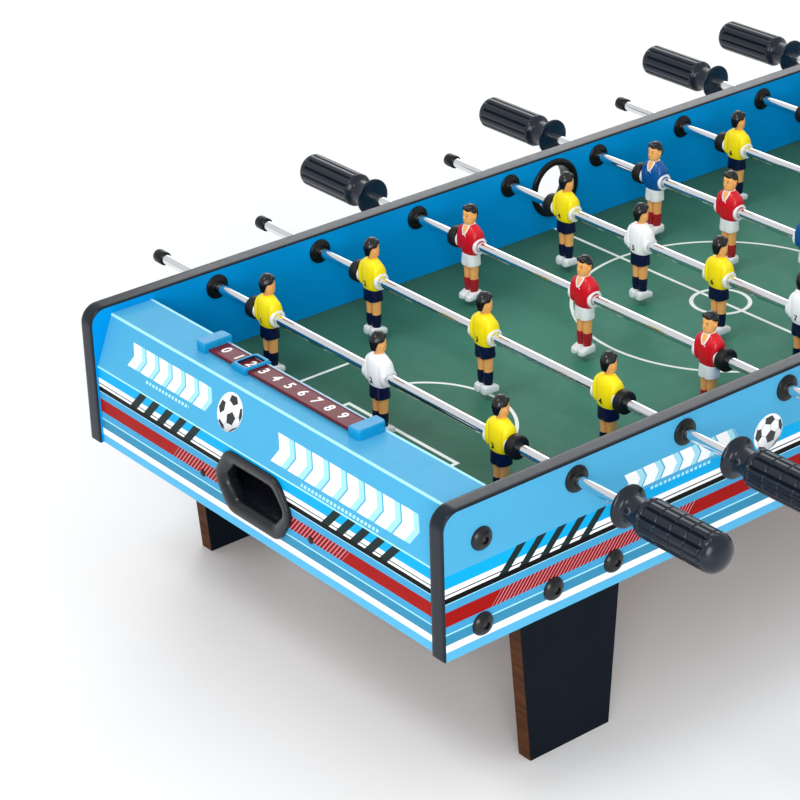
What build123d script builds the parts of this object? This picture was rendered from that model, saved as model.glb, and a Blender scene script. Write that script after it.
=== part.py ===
"""Tabletop foosball table on four short legs, as separate named pieces.

Frame: millimetres, +Z up, +X along the table's length, +Y across it.
The origin lies on the supporting surface, under the table's centre.
The whole table repeats when it is turned half a turn about Z, colours apart,
so every right-hand piece is the left-hand one turned.
"""
import os
from math import cos, pi, sin
from build123d import *

# ---------------------------------------------------------------- cabinet
BODY_LENGTH = 932.0
INNER_WIDTH = 400.0
PANEL_THICKNESS = 13.5
PANEL_HEIGHT = 111.0
LEG_DROP = 124.0            # supporting surface to the underside of the panels
PANEL_CORNER_RADIUS = 14.0
TRIM_THICKNESS = 1.5
TRIM_TONGUE_DEPTH = 6.0
TRIM_TONGUE_THICKNESS = 1.6
SHEET_THICKNESS = 6.0       # end panels and goal walls
PITCH_THICKNESS = 4.0
GROOVE_DEPTH = 4.0
FIT_GAP = 0.1               # between fixed pieces that slot into each other

# heights above the underside of the side panels
PITCH_RISE = 42.8
FOLD_RISE = 64.3
FLAT_RISE = 104.1
ROD_RISE = 96.3
SERVE_RISE = 80.5
POCKET_RISE = 37.3

# stations along the length, as distances from the table's centre
END_FACE_X = 462.8
SLOPE_TOP_X = 446.5
FLAT_INNER_X = 409.2

# ---------------------------------------------------------------- goals, pockets
GOAL_HALF_WIDTH = 55.0
GOAL_HEIGHT = 38.0
POCKET_HALF_WIDTH = 46.5    # at mid height
POCKET_HALF_HEIGHT = 24.8
POCKET_TAPER = 16.0         # how much narrower the pocket is at top and bottom
POCKET_RIM = 10.8
POCKET_PROUD = 3.5
POCKET_WALL = 2.0
TRAY_HALF_WIDTH = 60.0
TRAY_TOP_RISE = 59.0
POCKET_SCREW_Y = 65.0
POCKET_SCREW_RISE = 28.0

# ---------------------------------------------------------------- serve rings
SERVE_OUTER_RADIUS = 26.0
SERVE_TUBE_RADIUS = 22.5
SERVE_BORE_RADIUS = 20.0
SERVE_FLANGE = 2.5

# ---------------------------------------------------------------- legs, blocks
LEG_THICKNESS = 12.5
LEG_CENTRE_X = 343.0
LEG_FOOT_WIDTH = 74.0
LEG_TOP_WIDTH = 99.0
LEG_TOP_RISE = 36.0
LEG_SCREW_SPACING = 55.0
LEG_SCREW_RISE = 19.3
BLOCK_SIZE = 22.0
BLOCK_CENTRE_X = 433.0
BLOCK_LOW_RISE = 3.0
BLOCK_HIGH_RISE = 95.0
END_SCREW_RISES = (17.5, 82.5)

# ---------------------------------------------------------------- screws
CUP_RADIUS = 8.8
CUP_HEIGHT = 4.5
SHANK_RADIUS = 2.5
SHANK_BITE = 10.0           # how far a screw enters the leg or block
SMALL_SCREW_RADIUS = 3.0
SMALL_SCREW_PROUD = 1.2
SMALL_SHANK_RADIUS = 1.5

# ---------------------------------------------------------------- score counters
RAIL_CENTRE_X = 422.5
RAIL_WIDTH = 18.0
RAIL_FOOT_WIDTH = 14.0
RAIL_FOOT_HEIGHT = 1.3
RAIL_HEIGHT = 3.0
RAIL_Y = (-76.0, 94.0)
CAP_LENGTH = 12.0
CAP_WIDTH = 25.0
CAP_HEIGHT = 8.0
DIGIT_ZERO_Y = 84.4
DIGIT_PITCH = 15.4
REST_DIGIT = 2
SLIDER_WIDTH = 23.0
SLIDER_LENGTH = 17.0
SLIDER_TOP = 5.4
SLIDER_GAP = 0.3
SLIDER_WINDOW = (16.6, 12.4)
SLIDER_LIP = (1.4, 0.7)

# ---------------------------------------------------------------- rods
ROD_PITCH = 100.0
ROD_COUNT = 8
ROD_RADIUS = 4.0
ROD_WALL = 0.8
ROD_PLAIN_END = 282.0       # from the middle player station to the capped end
ROD_HANDLE_END = 302.0      # and to the end inside the handle
SEAT_GAP = 0.02             # between a rod and what is fixed on it
RUN_GAP = 0.05              # between a rod and what it runs in
BEARING_FLANGE_RADIUS = 10.0
BEARING_FLANGE = 3.0
BEARING_TUBE_RADIUS = 6.5
BUMPER_RADIUS = 8.8
BUMPER_LENGTH = 7.5
BUMPER_OFFSET = 0.3         # gap between the outer player's cuff and the bumper
END_CAP_RADIUS = 5.5
END_CAP_LENGTH = 11.5
END_CAP_WALL = 2.0

# rods whose players look along +X and whose handles are on the front side
FRONT_HANDLE_RODS = (1, 2, 4, 6)
PLAYER_STATIONS_3 = (-134.5, 0.0, 134.5)
PLAYER_STATIONS_4 = (-132.0, -44.0, 44.0, 132.0)
REST_SLIDE = -2.5           # the rods stand a little towards the front
FOUR_PLAYER_RODS = (4, 5)

# ---------------------------------------------------------------- handle
HANDLE_START = 260.0        # flange face, from the table's middle
HANDLE_END = 350.0
HANDLE_FLANGE_RADIUS = 15.5
HANDLE_FLANGE = 3.0
HANDLE_NECK_RADIUS = 10.0
HANDLE_NECK_LENGTH = 14.0
HANDLE_SHOULDER = 3.0
GRIP_RADIUS = 14.2
GRIP_NOSE = 11.0
FLUTE_COUNT = 12
FLUTE_RADIUS = 1.3
HANDLE_SCREW_RADIUS = 2.6
HANDLE_SCREW_TILT = -68.0   # degrees from straight up

# ---------------------------------------------------------------- player (heights from the rod's axis)
CUFF_HALF_LENGTH = 12.2
CUFF_RADIUS = 6.6
HEAD_TOP = 33.0
NECK_HEIGHT = 16.5
HEM_DROP = 8.2
SHORTS_DROP = 18.5
SHOE_TOP_DROP = 41.0
SOLE_DROP = 48.5
TOE_REACH = 8.5
HEEL_REACH = 6.0
SHOE_WIDTH = 15.0

# ---------------------------------------------------------------- derived
panel_bottom = LEG_DROP
panel_top = panel_bottom + PANEL_HEIGHT
inner_y = INNER_WIDTH / 2
outer_y = inner_y + PANEL_THICKNESS
pitch_top = panel_bottom + PITCH_RISE
flat_top = panel_bottom + FLAT_RISE
rod_height = panel_bottom + ROD_RISE
goal_wall_x = FLAT_INNER_X + SHEET_THICKNESS
rod_stations = [(number - (ROD_COUNT + 1) / 2) * ROD_PITCH for number in range(1, ROD_COUNT + 1)]


def slab(face, y_low, y_high):
    """Extrude an outline drawn in X and Z between two values of Y."""
    plane = Plane(origin=(0, y_high, 0), x_dir=(1, 0, 0), z_dir=(0, -1, 0))
    return extrude(plane * face, amount=y_high - y_low)


def wall(face, x_low, x_high):
    """Extrude an outline drawn in Y and Z between two values of X."""
    plane = Plane(origin=(x_low, 0, 0), x_dir=(0, 1, 0), z_dir=(1, 0, 0))
    return extrude(plane * face, amount=x_high - x_low)


def block(x_range, y_range, z_range):
    """A box given by its low and high corners."""
    sides = [high - low for low, high in (x_range, y_range, z_range)]
    centre = [(low + high) / 2 for low, high in (x_range, y_range, z_range)]
    return Pos(*centre) * Box(*sides)


def rod_like(radius, y_low, y_high):
    """A round bar along Y about the local Y axis."""
    return Pos(0, (y_low + y_high) / 2, 0) * Rot(90, 0, 0) * Cylinder(radius, y_high - y_low)


def turned(shape):
    """The same piece at the other end or side of the table."""
    return Rot(0, 0, 180) * shape


def save(name, *solids):
    """Write one node's solids to one STEP file."""
    shapes = [solid for group in solids for solid in group.solids()]
    export_step(Compound(children=shapes), f"parts/{name}.step")


# ---------------------------------------------------------------- side panels and trims
def panel_outline(inset):
    """The side panel's outline, drawn in by a distance from its top and its two ends."""
    height = PANEL_HEIGHT - inset
    face = Pos(0, panel_bottom + height / 2) * Rectangle(BODY_LENGTH - 2 * inset, height)
    top_corners = face.vertices().group_by(Axis.Y)[-1]
    return fillet(top_corners, PANEL_CORNER_RADIUS - inset)


def panel_screw_sites():
    """X and Z of the screws that cross one side panel."""
    block_sites = [(BLOCK_CENTRE_X, rise) for rise in END_SCREW_RISES]
    leg_sites = [(LEG_CENTRE_X + side * LEG_SCREW_SPACING / 2, LEG_SCREW_RISE) for side in (-1, 1)]
    return [(end * x, panel_bottom + rise) for end in (-1, 1) for x, rise in block_sites + leg_sites]


def across(radius, x, z, y_low, y_high):
    """A round bar along Y at a given X and Z."""
    return Pos(x, 0, z) * rod_like(radius, y_low, y_high)


def front_side_panel():
    board = slab(panel_outline(TRIM_THICKNESS), -outer_y, -inner_y)
    middle = -(inner_y + outer_y) / 2
    half_slot = (TRIM_TONGUE_THICKNESS + FIT_GAP) / 2
    slot = panel_outline(TRIM_THICKNESS) - panel_outline(TRIM_THICKNESS + TRIM_TONGUE_DEPTH + FIT_GAP)
    board -= slab(slot, middle - half_slot, middle + half_slot)
    board -= block((-goal_wall_x - FIT_GAP, goal_wall_x + FIT_GAP),
                   (-inner_y - GROOVE_DEPTH - FIT_GAP, -inner_y),
                   (pitch_top - PITCH_THICKNESS - FIT_GAP, pitch_top + FIT_GAP))
    for x in rod_stations:
        board -= across(BEARING_TUBE_RADIUS + FIT_GAP, x, rod_height, -outer_y, -inner_y)
    board -= across(SERVE_TUBE_RADIUS + FIT_GAP, 0, panel_bottom + SERVE_RISE, -outer_y, -inner_y)
    for x, z in panel_screw_sites():
        board -= across(SHANK_RADIUS + FIT_GAP, x, z, -outer_y, -inner_y)
    return board


def front_edge_trim():
    middle = -(inner_y + outer_y) / 2
    half_tongue = TRIM_TONGUE_THICKNESS / 2
    cap_strip = slab(panel_outline(0) - panel_outline(TRIM_THICKNESS), -outer_y, -inner_y)
    tongue_face = panel_outline(TRIM_THICKNESS) - panel_outline(TRIM_THICKNESS + TRIM_TONGUE_DEPTH)
    return cap_strip + slab(tongue_face, middle - half_tongue, middle + half_tongue)


# ---------------------------------------------------------------- end boxes
def end_panel_profile(inset):
    """Corner points of the folded end panel, moved inwards by a distance."""
    slope_x = END_FACE_X - SLOPE_TOP_X
    slope_z = FLAT_RISE - FOLD_RISE
    slope_length = (slope_x ** 2 + slope_z ** 2) ** 0.5
    lower_shift = inset * (slope_length - slope_x) / slope_z
    upper_shift = inset * (slope_length - slope_z) / slope_x
    return [
        (-END_FACE_X + inset, panel_bottom),
        (-END_FACE_X + inset, panel_bottom + FOLD_RISE - lower_shift),
        (-SLOPE_TOP_X + upper_shift, flat_top - inset),
        (-FLAT_INNER_X, flat_top - inset),
    ]


def pocket_outline(shrink):
    """The pocket's six-sided outline with large rounded corners, drawn in by a distance."""
    half_width = POCKET_HALF_WIDTH - shrink
    narrow = half_width - POCKET_TAPER + shrink / 4
    half_height = POCKET_HALF_HEIGHT - shrink
    corners = [(-narrow, half_height), (narrow, half_height), (half_width, 0),
               (narrow, -half_height), (-narrow, -half_height), (-half_width, 0)]
    face = make_face(Polyline(*corners, close=True))
    return Pos(0, panel_bottom + POCKET_RISE) * fillet(face.vertices(), 13.0 - shrink / 2)


def small_screw_sites():
    return [(side * POCKET_SCREW_Y, panel_bottom + POCKET_SCREW_RISE) for side in (-1, 1)]


def left_end_panel():
    outline = end_panel_profile(0) + end_panel_profile(SHEET_THICKNESS)[::-1]
    panel = slab(make_face(Polyline(*outline, close=True)), -inner_y + FIT_GAP, inner_y - FIT_GAP)
    opening = pocket_outline(POCKET_RIM - POCKET_WALL - FIT_GAP)
    panel -= wall(opening, -END_FACE_X - 1, -END_FACE_X + SHEET_THICKNESS + 1)
    for y, z in small_screw_sites():
        panel -= Pos(-END_FACE_X, y, z) * Rot(0, 90, 0) * Cylinder(SMALL_SHANK_RADIUS + FIT_GAP, 40)
    return panel


def left_goal_wall():
    top = flat_top - SHEET_THICKNESS
    board = block((-goal_wall_x, -FLAT_INNER_X), (-inner_y + FIT_GAP, inner_y - FIT_GAP), (pitch_top, top))
    mouth = block((-goal_wall_x - 1, -FLAT_INNER_X + 1), (-GOAL_HALF_WIDTH, GOAL_HALF_WIDTH),
                  (pitch_top - 1, pitch_top + GOAL_HEIGHT))
    return board - mouth


def left_corner_blocks():
    """The two blocks that take the end screws inside the left end box."""
    blocks = []
    for side in (-1, 1):
        y_range = sorted((side * (inner_y - FIT_GAP), side * (inner_y - BLOCK_SIZE)))
        shape = block((-BLOCK_CENTRE_X - BLOCK_SIZE / 2, -BLOCK_CENTRE_X + BLOCK_SIZE / 2), y_range,
                      (panel_bottom + BLOCK_LOW_RISE, panel_bottom + BLOCK_HIGH_RISE))
        for rise in END_SCREW_RISES:
            shape -= across(SHANK_RADIUS + FIT_GAP, -BLOCK_CENTRE_X, panel_bottom + rise,
                            *screw_hole_span(side))
        blocks.append(shape)
    return blocks


def left_ball_pocket():
    """Frame, throat and sloping tray, moulded in one piece."""
    inner_face_x = -END_FACE_X + SHEET_THICKNESS
    tray_front = inner_face_x + FIT_GAP
    tray_back = -goal_wall_x - FIT_GAP
    throat_sill = panel_bottom + POCKET_RISE - POCKET_HALF_HEIGHT + POCKET_RIM
    back_sill = pitch_top - 0.5
    tray_top = panel_bottom + TRAY_TOP_RISE
    shell = slab(make_face(Polyline((tray_front, throat_sill - POCKET_WALL), (tray_back, back_sill - POCKET_WALL),
                                    (tray_back, tray_top), (tray_front, tray_top), close=True)),
                 -TRAY_HALF_WIDTH, TRAY_HALF_WIDTH)
    room = slab(make_face(Polyline((tray_front + POCKET_WALL, throat_sill), (tray_back + 1, back_sill),
                                   (tray_back + 1, tray_top + 1), (tray_front + POCKET_WALL, tray_top + 1),
                                   close=True)),
                -TRAY_HALF_WIDTH + POCKET_WALL, TRAY_HALF_WIDTH - POCKET_WALL)
    frame_rim = wall(pocket_outline(0), -END_FACE_X - POCKET_PROUD, -END_FACE_X)
    throat = wall(pocket_outline(POCKET_RIM - POCKET_WALL), -END_FACE_X, tray_front)
    hole = wall(pocket_outline(POCKET_RIM), -END_FACE_X - POCKET_PROUD - 1, tray_front + POCKET_WALL + 1)
    return (shell - room) + frame_rim + throat - hole


def left_pocket_screws():
    """Two small round-headed screws beside the pocket."""
    screws = []
    for y, z in small_screw_sites():
        head = Rot(0, -90, 0) * dome(SMALL_SCREW_RADIUS, SMALL_SCREW_PROUD)
        shank = Pos(SHEET_THICKNESS / 2, 0, 0) * Rot(0, 90, 0) * Cylinder(SMALL_SHANK_RADIUS, SHEET_THICKNESS)
        screws.append(Pos(-END_FACE_X, y, z) * (head + shank))
    return screws


# ---------------------------------------------------------------- legs and screws
def dome(radius, height):
    """A round cap standing on the XY plane, curved like a shallow ball."""
    ball_radius = (radius ** 2 + height ** 2) / (2 * height)
    ball = Pos(0, 0, height - ball_radius) * Sphere(ball_radius)
    return ball & Pos(0, 0, height / 2) * Cylinder(radius, height)


def screw_hole_span(side):
    """Y range of a screw's hole in a leg or block on one side."""
    depth = inner_y - SHANK_BITE - 0.5
    return sorted((side * (inner_y + 1), side * depth))


def left_legs():
    """The tapered legs at the left end, rear and front."""
    half_foot = LEG_FOOT_WIDTH / 2
    half_top = LEG_TOP_WIDTH / 2
    top = panel_bottom + LEG_TOP_RISE
    face = make_face(Polyline((-half_foot, 0), (half_foot, 0), (half_top, top), (-half_top, top), close=True))
    legs = []
    for side in (-1, 1):
        y_range = sorted((side * (inner_y - FIT_GAP), side * (inner_y - LEG_THICKNESS)))
        leg = Pos(-LEG_CENTRE_X, 0, 0) * slab(face, *y_range)
        for x_side in (-1, 1):
            leg -= across(SHANK_RADIUS + FIT_GAP, -LEG_CENTRE_X + x_side * LEG_SCREW_SPACING / 2,
                          panel_bottom + LEG_SCREW_RISE, *screw_hole_span(side))
        legs.append(leg)
    return legs


def front_panel_screws():
    """Domed black screws through the front side panel."""
    screws = []
    for x, z in panel_screw_sites():
        head = Pos(0, -outer_y, 0) * Rot(90, 0, 0) * dome(CUP_RADIUS, CUP_HEIGHT)
        shank = rod_like(SHANK_RADIUS, -outer_y, -inner_y + SHANK_BITE)
        screws.append(Pos(x, 0, z) * (head + shank))
    return screws


# ---------------------------------------------------------------- serve rings and bearings
def front_serve_ring():
    """The outer and the inner half of a ball-serve ring, which meet in mid panel."""
    middle = (inner_y + outer_y) / 2
    halves = []
    for face_y, way in ((-outer_y, -1), (-inner_y, 1)):
        flange_range = sorted((face_y, face_y + way * SERVE_FLANGE))
        tube_range = sorted((-middle + way * FIT_GAP / 2, face_y))
        half = rod_like(SERVE_OUTER_RADIUS, *flange_range) + rod_like(SERVE_TUBE_RADIUS, *tube_range)
        half -= rod_like(SERVE_BORE_RADIUS, -outer_y - SERVE_FLANGE - 1, -inner_y + SERVE_FLANGE + 1)
        halves.append(Pos(0, 0, panel_bottom + SERVE_RISE) * half)
    return halves


def rod_bearing(side):
    """A flanged bush through one side panel, about the local rod axis."""
    y_faces = sorted((side * inner_y, side * outer_y))
    bush = rod_like(BEARING_TUBE_RADIUS, *y_faces)
    bush += rod_like(BEARING_FLANGE_RADIUS, y_faces[0] - BEARING_FLANGE, y_faces[0])
    bush += rod_like(BEARING_FLANGE_RADIUS, y_faces[1], y_faces[1] + BEARING_FLANGE)
    return bush - rod_like(ROD_RADIUS + RUN_GAP, y_faces[0] - BEARING_FLANGE - 1,
                           y_faces[1] + BEARING_FLANGE + 1)


# ---------------------------------------------------------------- score counters
def left_score_rail():
    """A strip with undercut edges and an end cap at each end, as three solids."""
    foot = block((-RAIL_CENTRE_X - RAIL_FOOT_WIDTH / 2, -RAIL_CENTRE_X + RAIL_FOOT_WIDTH / 2), RAIL_Y,
                 (flat_top, flat_top + RAIL_FOOT_HEIGHT))
    strip = block((-RAIL_CENTRE_X - RAIL_WIDTH / 2, -RAIL_CENTRE_X + RAIL_WIDTH / 2), RAIL_Y,
                  (flat_top + RAIL_FOOT_HEIGHT, flat_top + RAIL_HEIGHT))
    pieces = [foot + strip]
    for y_low in (RAIL_Y[0] - CAP_LENGTH, RAIL_Y[1]):
        cap = block((-RAIL_CENTRE_X - CAP_WIDTH / 2, -RAIL_CENTRE_X + CAP_WIDTH / 2),
                    (y_low, y_low + CAP_LENGTH), (flat_top, flat_top + CAP_HEIGHT))
        pieces.append(fillet(cap.edges().group_by(Axis.Z)[-1], 2.0))
    return pieces


def left_score_slider():
    """A windowed saddle that hooks under the rail's edges, at the rest digit."""
    y_centre = DIGIT_ZERO_Y - REST_DIGIT * DIGIT_PITCH
    lip_width, lip_height = SLIDER_LIP
    channel_half = RAIL_WIDTH / 2 + SLIDER_GAP
    body = block((-SLIDER_WIDTH / 2, SLIDER_WIDTH / 2), (-SLIDER_LENGTH / 2, SLIDER_LENGTH / 2),
                 (SLIDER_GAP, SLIDER_TOP))
    body = fillet(body.edges().group_by(Axis.Z)[-1], 1.2)
    body -= block((-channel_half, channel_half), (-SLIDER_LENGTH, SLIDER_LENGTH),
                  (0, RAIL_HEIGHT + SLIDER_GAP))
    for side in (-1, 1):
        x_range = sorted((side * channel_half, side * (channel_half - lip_width)))
        body += block(x_range, (-SLIDER_LENGTH / 2, SLIDER_LENGTH / 2), (SLIDER_GAP, SLIDER_GAP + lip_height))
    body -= Box(SLIDER_WINDOW[0], SLIDER_WINDOW[1], 4 * SLIDER_TOP)
    return Pos(-RAIL_CENTRE_X, y_centre, flat_top) * body


# ---------------------------------------------------------------- rod pieces, about the rod's axis, handle towards -Y
def shaft():
    tube = rod_like(ROD_RADIUS, -ROD_HANDLE_END, ROD_PLAIN_END)
    return tube - rod_like(ROD_RADIUS - ROD_WALL, -ROD_HANDLE_END - 1, ROD_PLAIN_END + 1)


def end_cap():
    start = ROD_PLAIN_END + END_CAP_WALL - END_CAP_LENGTH
    cap = rod_like(END_CAP_RADIUS, start, start + END_CAP_LENGTH)
    cap = fillet(cap.edges().filter_by(GeomType.CIRCLE).sort_by(Axis.Y)[-1], 1.8)
    return cap - rod_like(ROD_RADIUS + SEAT_GAP, start - 1, ROD_PLAIN_END + SEAT_GAP)


def handle():
    """Flange, neck and fluted grip with a domed end, and the screw in the neck."""
    neck_start = -HANDLE_START - HANDLE_FLANGE
    shoulder_start = neck_start - HANDLE_NECK_LENGTH
    grip_start = shoulder_start - HANDLE_SHOULDER
    nose_start = -HANDLE_END + GRIP_NOSE
    nose_face = GRIP_RADIUS * 0.42
    profile = Polyline((0, -HANDLE_START), (HANDLE_FLANGE_RADIUS, -HANDLE_START),
                       (HANDLE_FLANGE_RADIUS, neck_start), (HANDLE_NECK_RADIUS, neck_start),
                       (HANDLE_NECK_RADIUS, shoulder_start), (GRIP_RADIUS, grip_start),
                       (GRIP_RADIUS, nose_start))
    nose = Spline((GRIP_RADIUS, nose_start), (GRIP_RADIUS * 0.86, -HANDLE_END + GRIP_NOSE * 0.36),
                  (nose_face, -HANDLE_END), tangents=((0, -1), (-1, 0)))
    closing = Polyline((nose_face, -HANDLE_END), (0, -HANDLE_END), (0, -HANDLE_START))
    body = revolve(make_face(profile + nose + closing), Axis.Y)
    for index in range(FLUTE_COUNT):
        angle = 2 * pi * (index + 0.5) / FLUTE_COUNT
        flute = rod_like(FLUTE_RADIUS, nose_start + 1, grip_start + 1)
        body -= Pos((GRIP_RADIUS + 0.3) * cos(angle), 0, (GRIP_RADIUS + 0.3) * sin(angle)) * flute
    body -= rod_like(ROD_RADIUS + SEAT_GAP, -ROD_HANDLE_END - SEAT_GAP, -HANDLE_START + 1)
    screw_y = neck_start - HANDLE_NECK_LENGTH / 2
    screw_place = Pos(0, screw_y, (HANDLE_NECK_RADIUS + ROD_RADIUS) / 2 + 0.2)
    body -= screw_place * Cylinder(HANDLE_SCREW_RADIUS + SEAT_GAP, HANDLE_NECK_RADIUS - ROD_RADIUS + 1.6)
    screw = screw_place * Cylinder(HANDLE_SCREW_RADIUS, HANDLE_NECK_RADIUS - ROD_RADIUS - 0.2)
    tilt = Rot(0, HANDLE_SCREW_TILT, 0)
    return [tilt * body, tilt * screw]


def bumpers(stations):
    """The two rubber rings beside the outermost players."""
    inner_end = max(stations) + CUFF_HALF_LENGTH + BUMPER_OFFSET
    rings = []
    for side in (-1, 1):
        span = sorted((side * inner_end, side * (inner_end + BUMPER_LENGTH)))
        ring = rod_like(BUMPER_RADIUS, *span)
        ring = fillet(ring.edges().filter_by(GeomType.CIRCLE), 1.2)
        rings.append(ring - rod_like(ROD_RADIUS + RUN_GAP, span[0] - 1, span[1] + 1))
    return rings


def oval(half_x, half_y, height):
    """An ellipse in a horizontal plane at a height from the rod's axis."""
    return Pos(0, 0, height) * Ellipse(half_x, half_y)


def player():
    """One moulded player, looking along +X, with its bore on the rod's axis."""
    shirt = loft([oval(5.6, 9.0, -HEM_DROP - 2), oval(7.4, 11.4, 0), oval(7.0, 11.2, 8),
                  oval(5.4, 9.2, 14), oval(3.4, 4.2, NECK_HEIGHT + 1)])
    cuffs = rod_like(CUFF_RADIUS, -CUFF_HALF_LENGTH, CUFF_HALF_LENGTH)
    neck = Pos(0.4, 0, NECK_HEIGHT) * Cylinder(3.3, 10)
    head_height = HEAD_TOP - NECK_HEIGHT - 2
    head = Pos(0.2, 0, HEAD_TOP - head_height / 2) * scale(Sphere(1), (6.2, 5.2, head_height / 2))
    shorts = loft([oval(5.4, 7.4, -SHORTS_DROP), oval(6.2, 8.6, -HEM_DROP)])
    legs = loft([oval(4.2, 6.2, -SHOE_TOP_DROP - 1), oval(4.6, 6.8, -SHORTS_DROP - 6),
                 oval(4.6, 6.8, -SHORTS_DROP + 1)])
    shoes = block((-HEEL_REACH, TOE_REACH), (-SHOE_WIDTH / 2, SHOE_WIDTH / 2), (-SOLE_DROP, -SHOE_TOP_DROP))
    shoes = fillet(shoes.edges().filter_by(Axis.Z), 3.0)
    shoes = fillet(shoes.edges().group_by(Axis.Z)[-1], 2.0)
    figure = shirt + cuffs + neck + head + shorts + legs + shoes
    return figure - rod_like(ROD_RADIUS + SEAT_GAP, -CUFF_HALF_LENGTH - 1, CUFF_HALF_LENGTH + 1)


# ---------------------------------------------------------------- write the nodes
os.makedirs("parts", exist_ok=True)

front_panel = front_side_panel()
save("side_panel_front", front_panel)
save("side_panel_rear", turned(front_panel))

trim = front_edge_trim()
save("edge_trims", trim, turned(trim))

left_panel = left_end_panel()
save("end_panel_left", left_panel)
save("end_panel_right", turned(left_panel))

goal_wall = left_goal_wall()
save("goal_walls", goal_wall, turned(goal_wall))

save("pitch_board", block((-goal_wall_x, goal_wall_x), (-inner_y - GROOVE_DEPTH, inner_y + GROOVE_DEPTH),
                          (pitch_top - PITCH_THICKNESS, pitch_top)))

blocks_left = left_corner_blocks()
save("corner_blocks", *blocks_left, *[turned(item) for item in blocks_left])

legs_left = left_legs()
save("legs_left", *legs_left)
save("legs_right", *[turned(item) for item in legs_left])

pocket = left_ball_pocket()
save("ball_pocket_left", pocket)
save("ball_pocket_right", turned(pocket))

pocket_screws = left_pocket_screws()
save("pocket_screws", *pocket_screws, *[turned(item) for item in pocket_screws])

rail = left_score_rail()
save("score_rail_left", *rail)
save("score_rail_right", *[turned(item) for item in rail])

slider = left_score_slider()
save("score_slider_left", slider)
save("score_slider_right", turned(slider))

serve_ring = front_serve_ring()
save("serve_rings", *serve_ring, *[turned(item) for item in serve_ring])

bearing_pair = [rod_bearing(side) for side in (-1, 1)]
save("rod_bearings", *[Pos(x, 0, rod_height) * item for x in rod_stations for item in bearing_pair])

screws_front = front_panel_screws()
save("panel_screws", *screws_front, *[turned(item) for item in screws_front])

one_shaft = shaft()
one_cap = end_cap()
one_handle = handle()
one_player = player()
for number, x in enumerate(rod_stations, start=1):
    stations = PLAYER_STATIONS_4 if number in FOUR_PLAYER_RODS else PLAYER_STATIONS_3
    facing = 0 if number in FRONT_HANDLE_RODS else 180
    place = Pos(x, REST_SLIDE, rod_height) * Rot(0, 0, facing)
    save(f"rod_{number}_shaft", place * one_shaft)
    save(f"rod_{number}_end_cap", place * one_cap)
    save(f"rod_{number}_handle", *[place * item for item in one_handle])
    save(f"rod_{number}_bumpers", *[place * item for item in bumpers(stations)])
    save(f"rod_{number}_players", *[place * Pos(0, y, 0) * one_player for y in stations])
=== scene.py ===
from math import acos, atan2, cos, exp, pi, radians, sin, sqrt, tau

import bpy
from mathutils import Matrix, Vector


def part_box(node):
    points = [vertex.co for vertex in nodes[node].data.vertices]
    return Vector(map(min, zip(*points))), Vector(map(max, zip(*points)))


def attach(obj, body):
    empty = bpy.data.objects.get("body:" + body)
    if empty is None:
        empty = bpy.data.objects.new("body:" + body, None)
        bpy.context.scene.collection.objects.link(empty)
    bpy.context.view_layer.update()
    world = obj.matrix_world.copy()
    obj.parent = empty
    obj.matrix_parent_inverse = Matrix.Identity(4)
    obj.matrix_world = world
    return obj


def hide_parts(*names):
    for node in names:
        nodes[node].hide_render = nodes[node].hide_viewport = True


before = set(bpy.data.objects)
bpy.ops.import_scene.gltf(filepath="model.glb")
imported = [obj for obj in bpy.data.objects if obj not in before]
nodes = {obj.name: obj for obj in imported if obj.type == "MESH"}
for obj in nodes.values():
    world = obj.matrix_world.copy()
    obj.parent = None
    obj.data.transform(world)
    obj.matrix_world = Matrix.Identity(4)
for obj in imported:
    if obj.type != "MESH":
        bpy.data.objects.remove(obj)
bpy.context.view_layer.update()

scene = bpy.context.scene

MM = 0.001
HALF_TURN = Matrix.Rotation(pi, 4, "Z")
RODS = range(1, 9)
FRONT_RODS = (1, 2, 4, 6)
SHIRTS = {1: "YWY", 2: "YYY", 3: "RRR", 4: "YWYW", 5: "BRBR", 6: "YYY", 7: "RRR", 8: "RBR"}


def box_mm(node):
    low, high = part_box(node)
    return low / MM, high / MM


panel_low, panel_high = box_mm("side_panel_front")
trim_high = box_mm("edge_trims")[1]
flat_top = box_mm("end_panel_left")[1].z
end_face_x = box_mm("end_panel_left")[0].x
pitch_top = box_mm("pitch_board")[1].z
panel_bottom = panel_low.z
outer_y = -panel_low.y
inner_y = -panel_high.y
middle_y = (outer_y + inner_y) / 2
rod_axis = {rod: sum(box_mm(f"rod_{rod}_bumpers"), Vector()) / 2 for rod in RODS}

# the end panels' slope, from its foot at the fold, above the side panels' underside
FOLD_X = 462.8
FOLD_RISE = 64.3
SLOPE_RUN = 16.3
SLOPE_RISE = 39.8


# ---------------------------------------------------------------- colours and node materials
def srgb(red, green, blue):
    """A display colour, 0 to 255, as the linear colour that shaders take."""
    channels = []
    for value in (red, green, blue):
        share = value / 255
        channels.append(share / 12.92 if share <= 0.04045 else ((share + 0.055) / 1.055) ** 2.4)
    return (*channels, 1.0)


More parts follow.
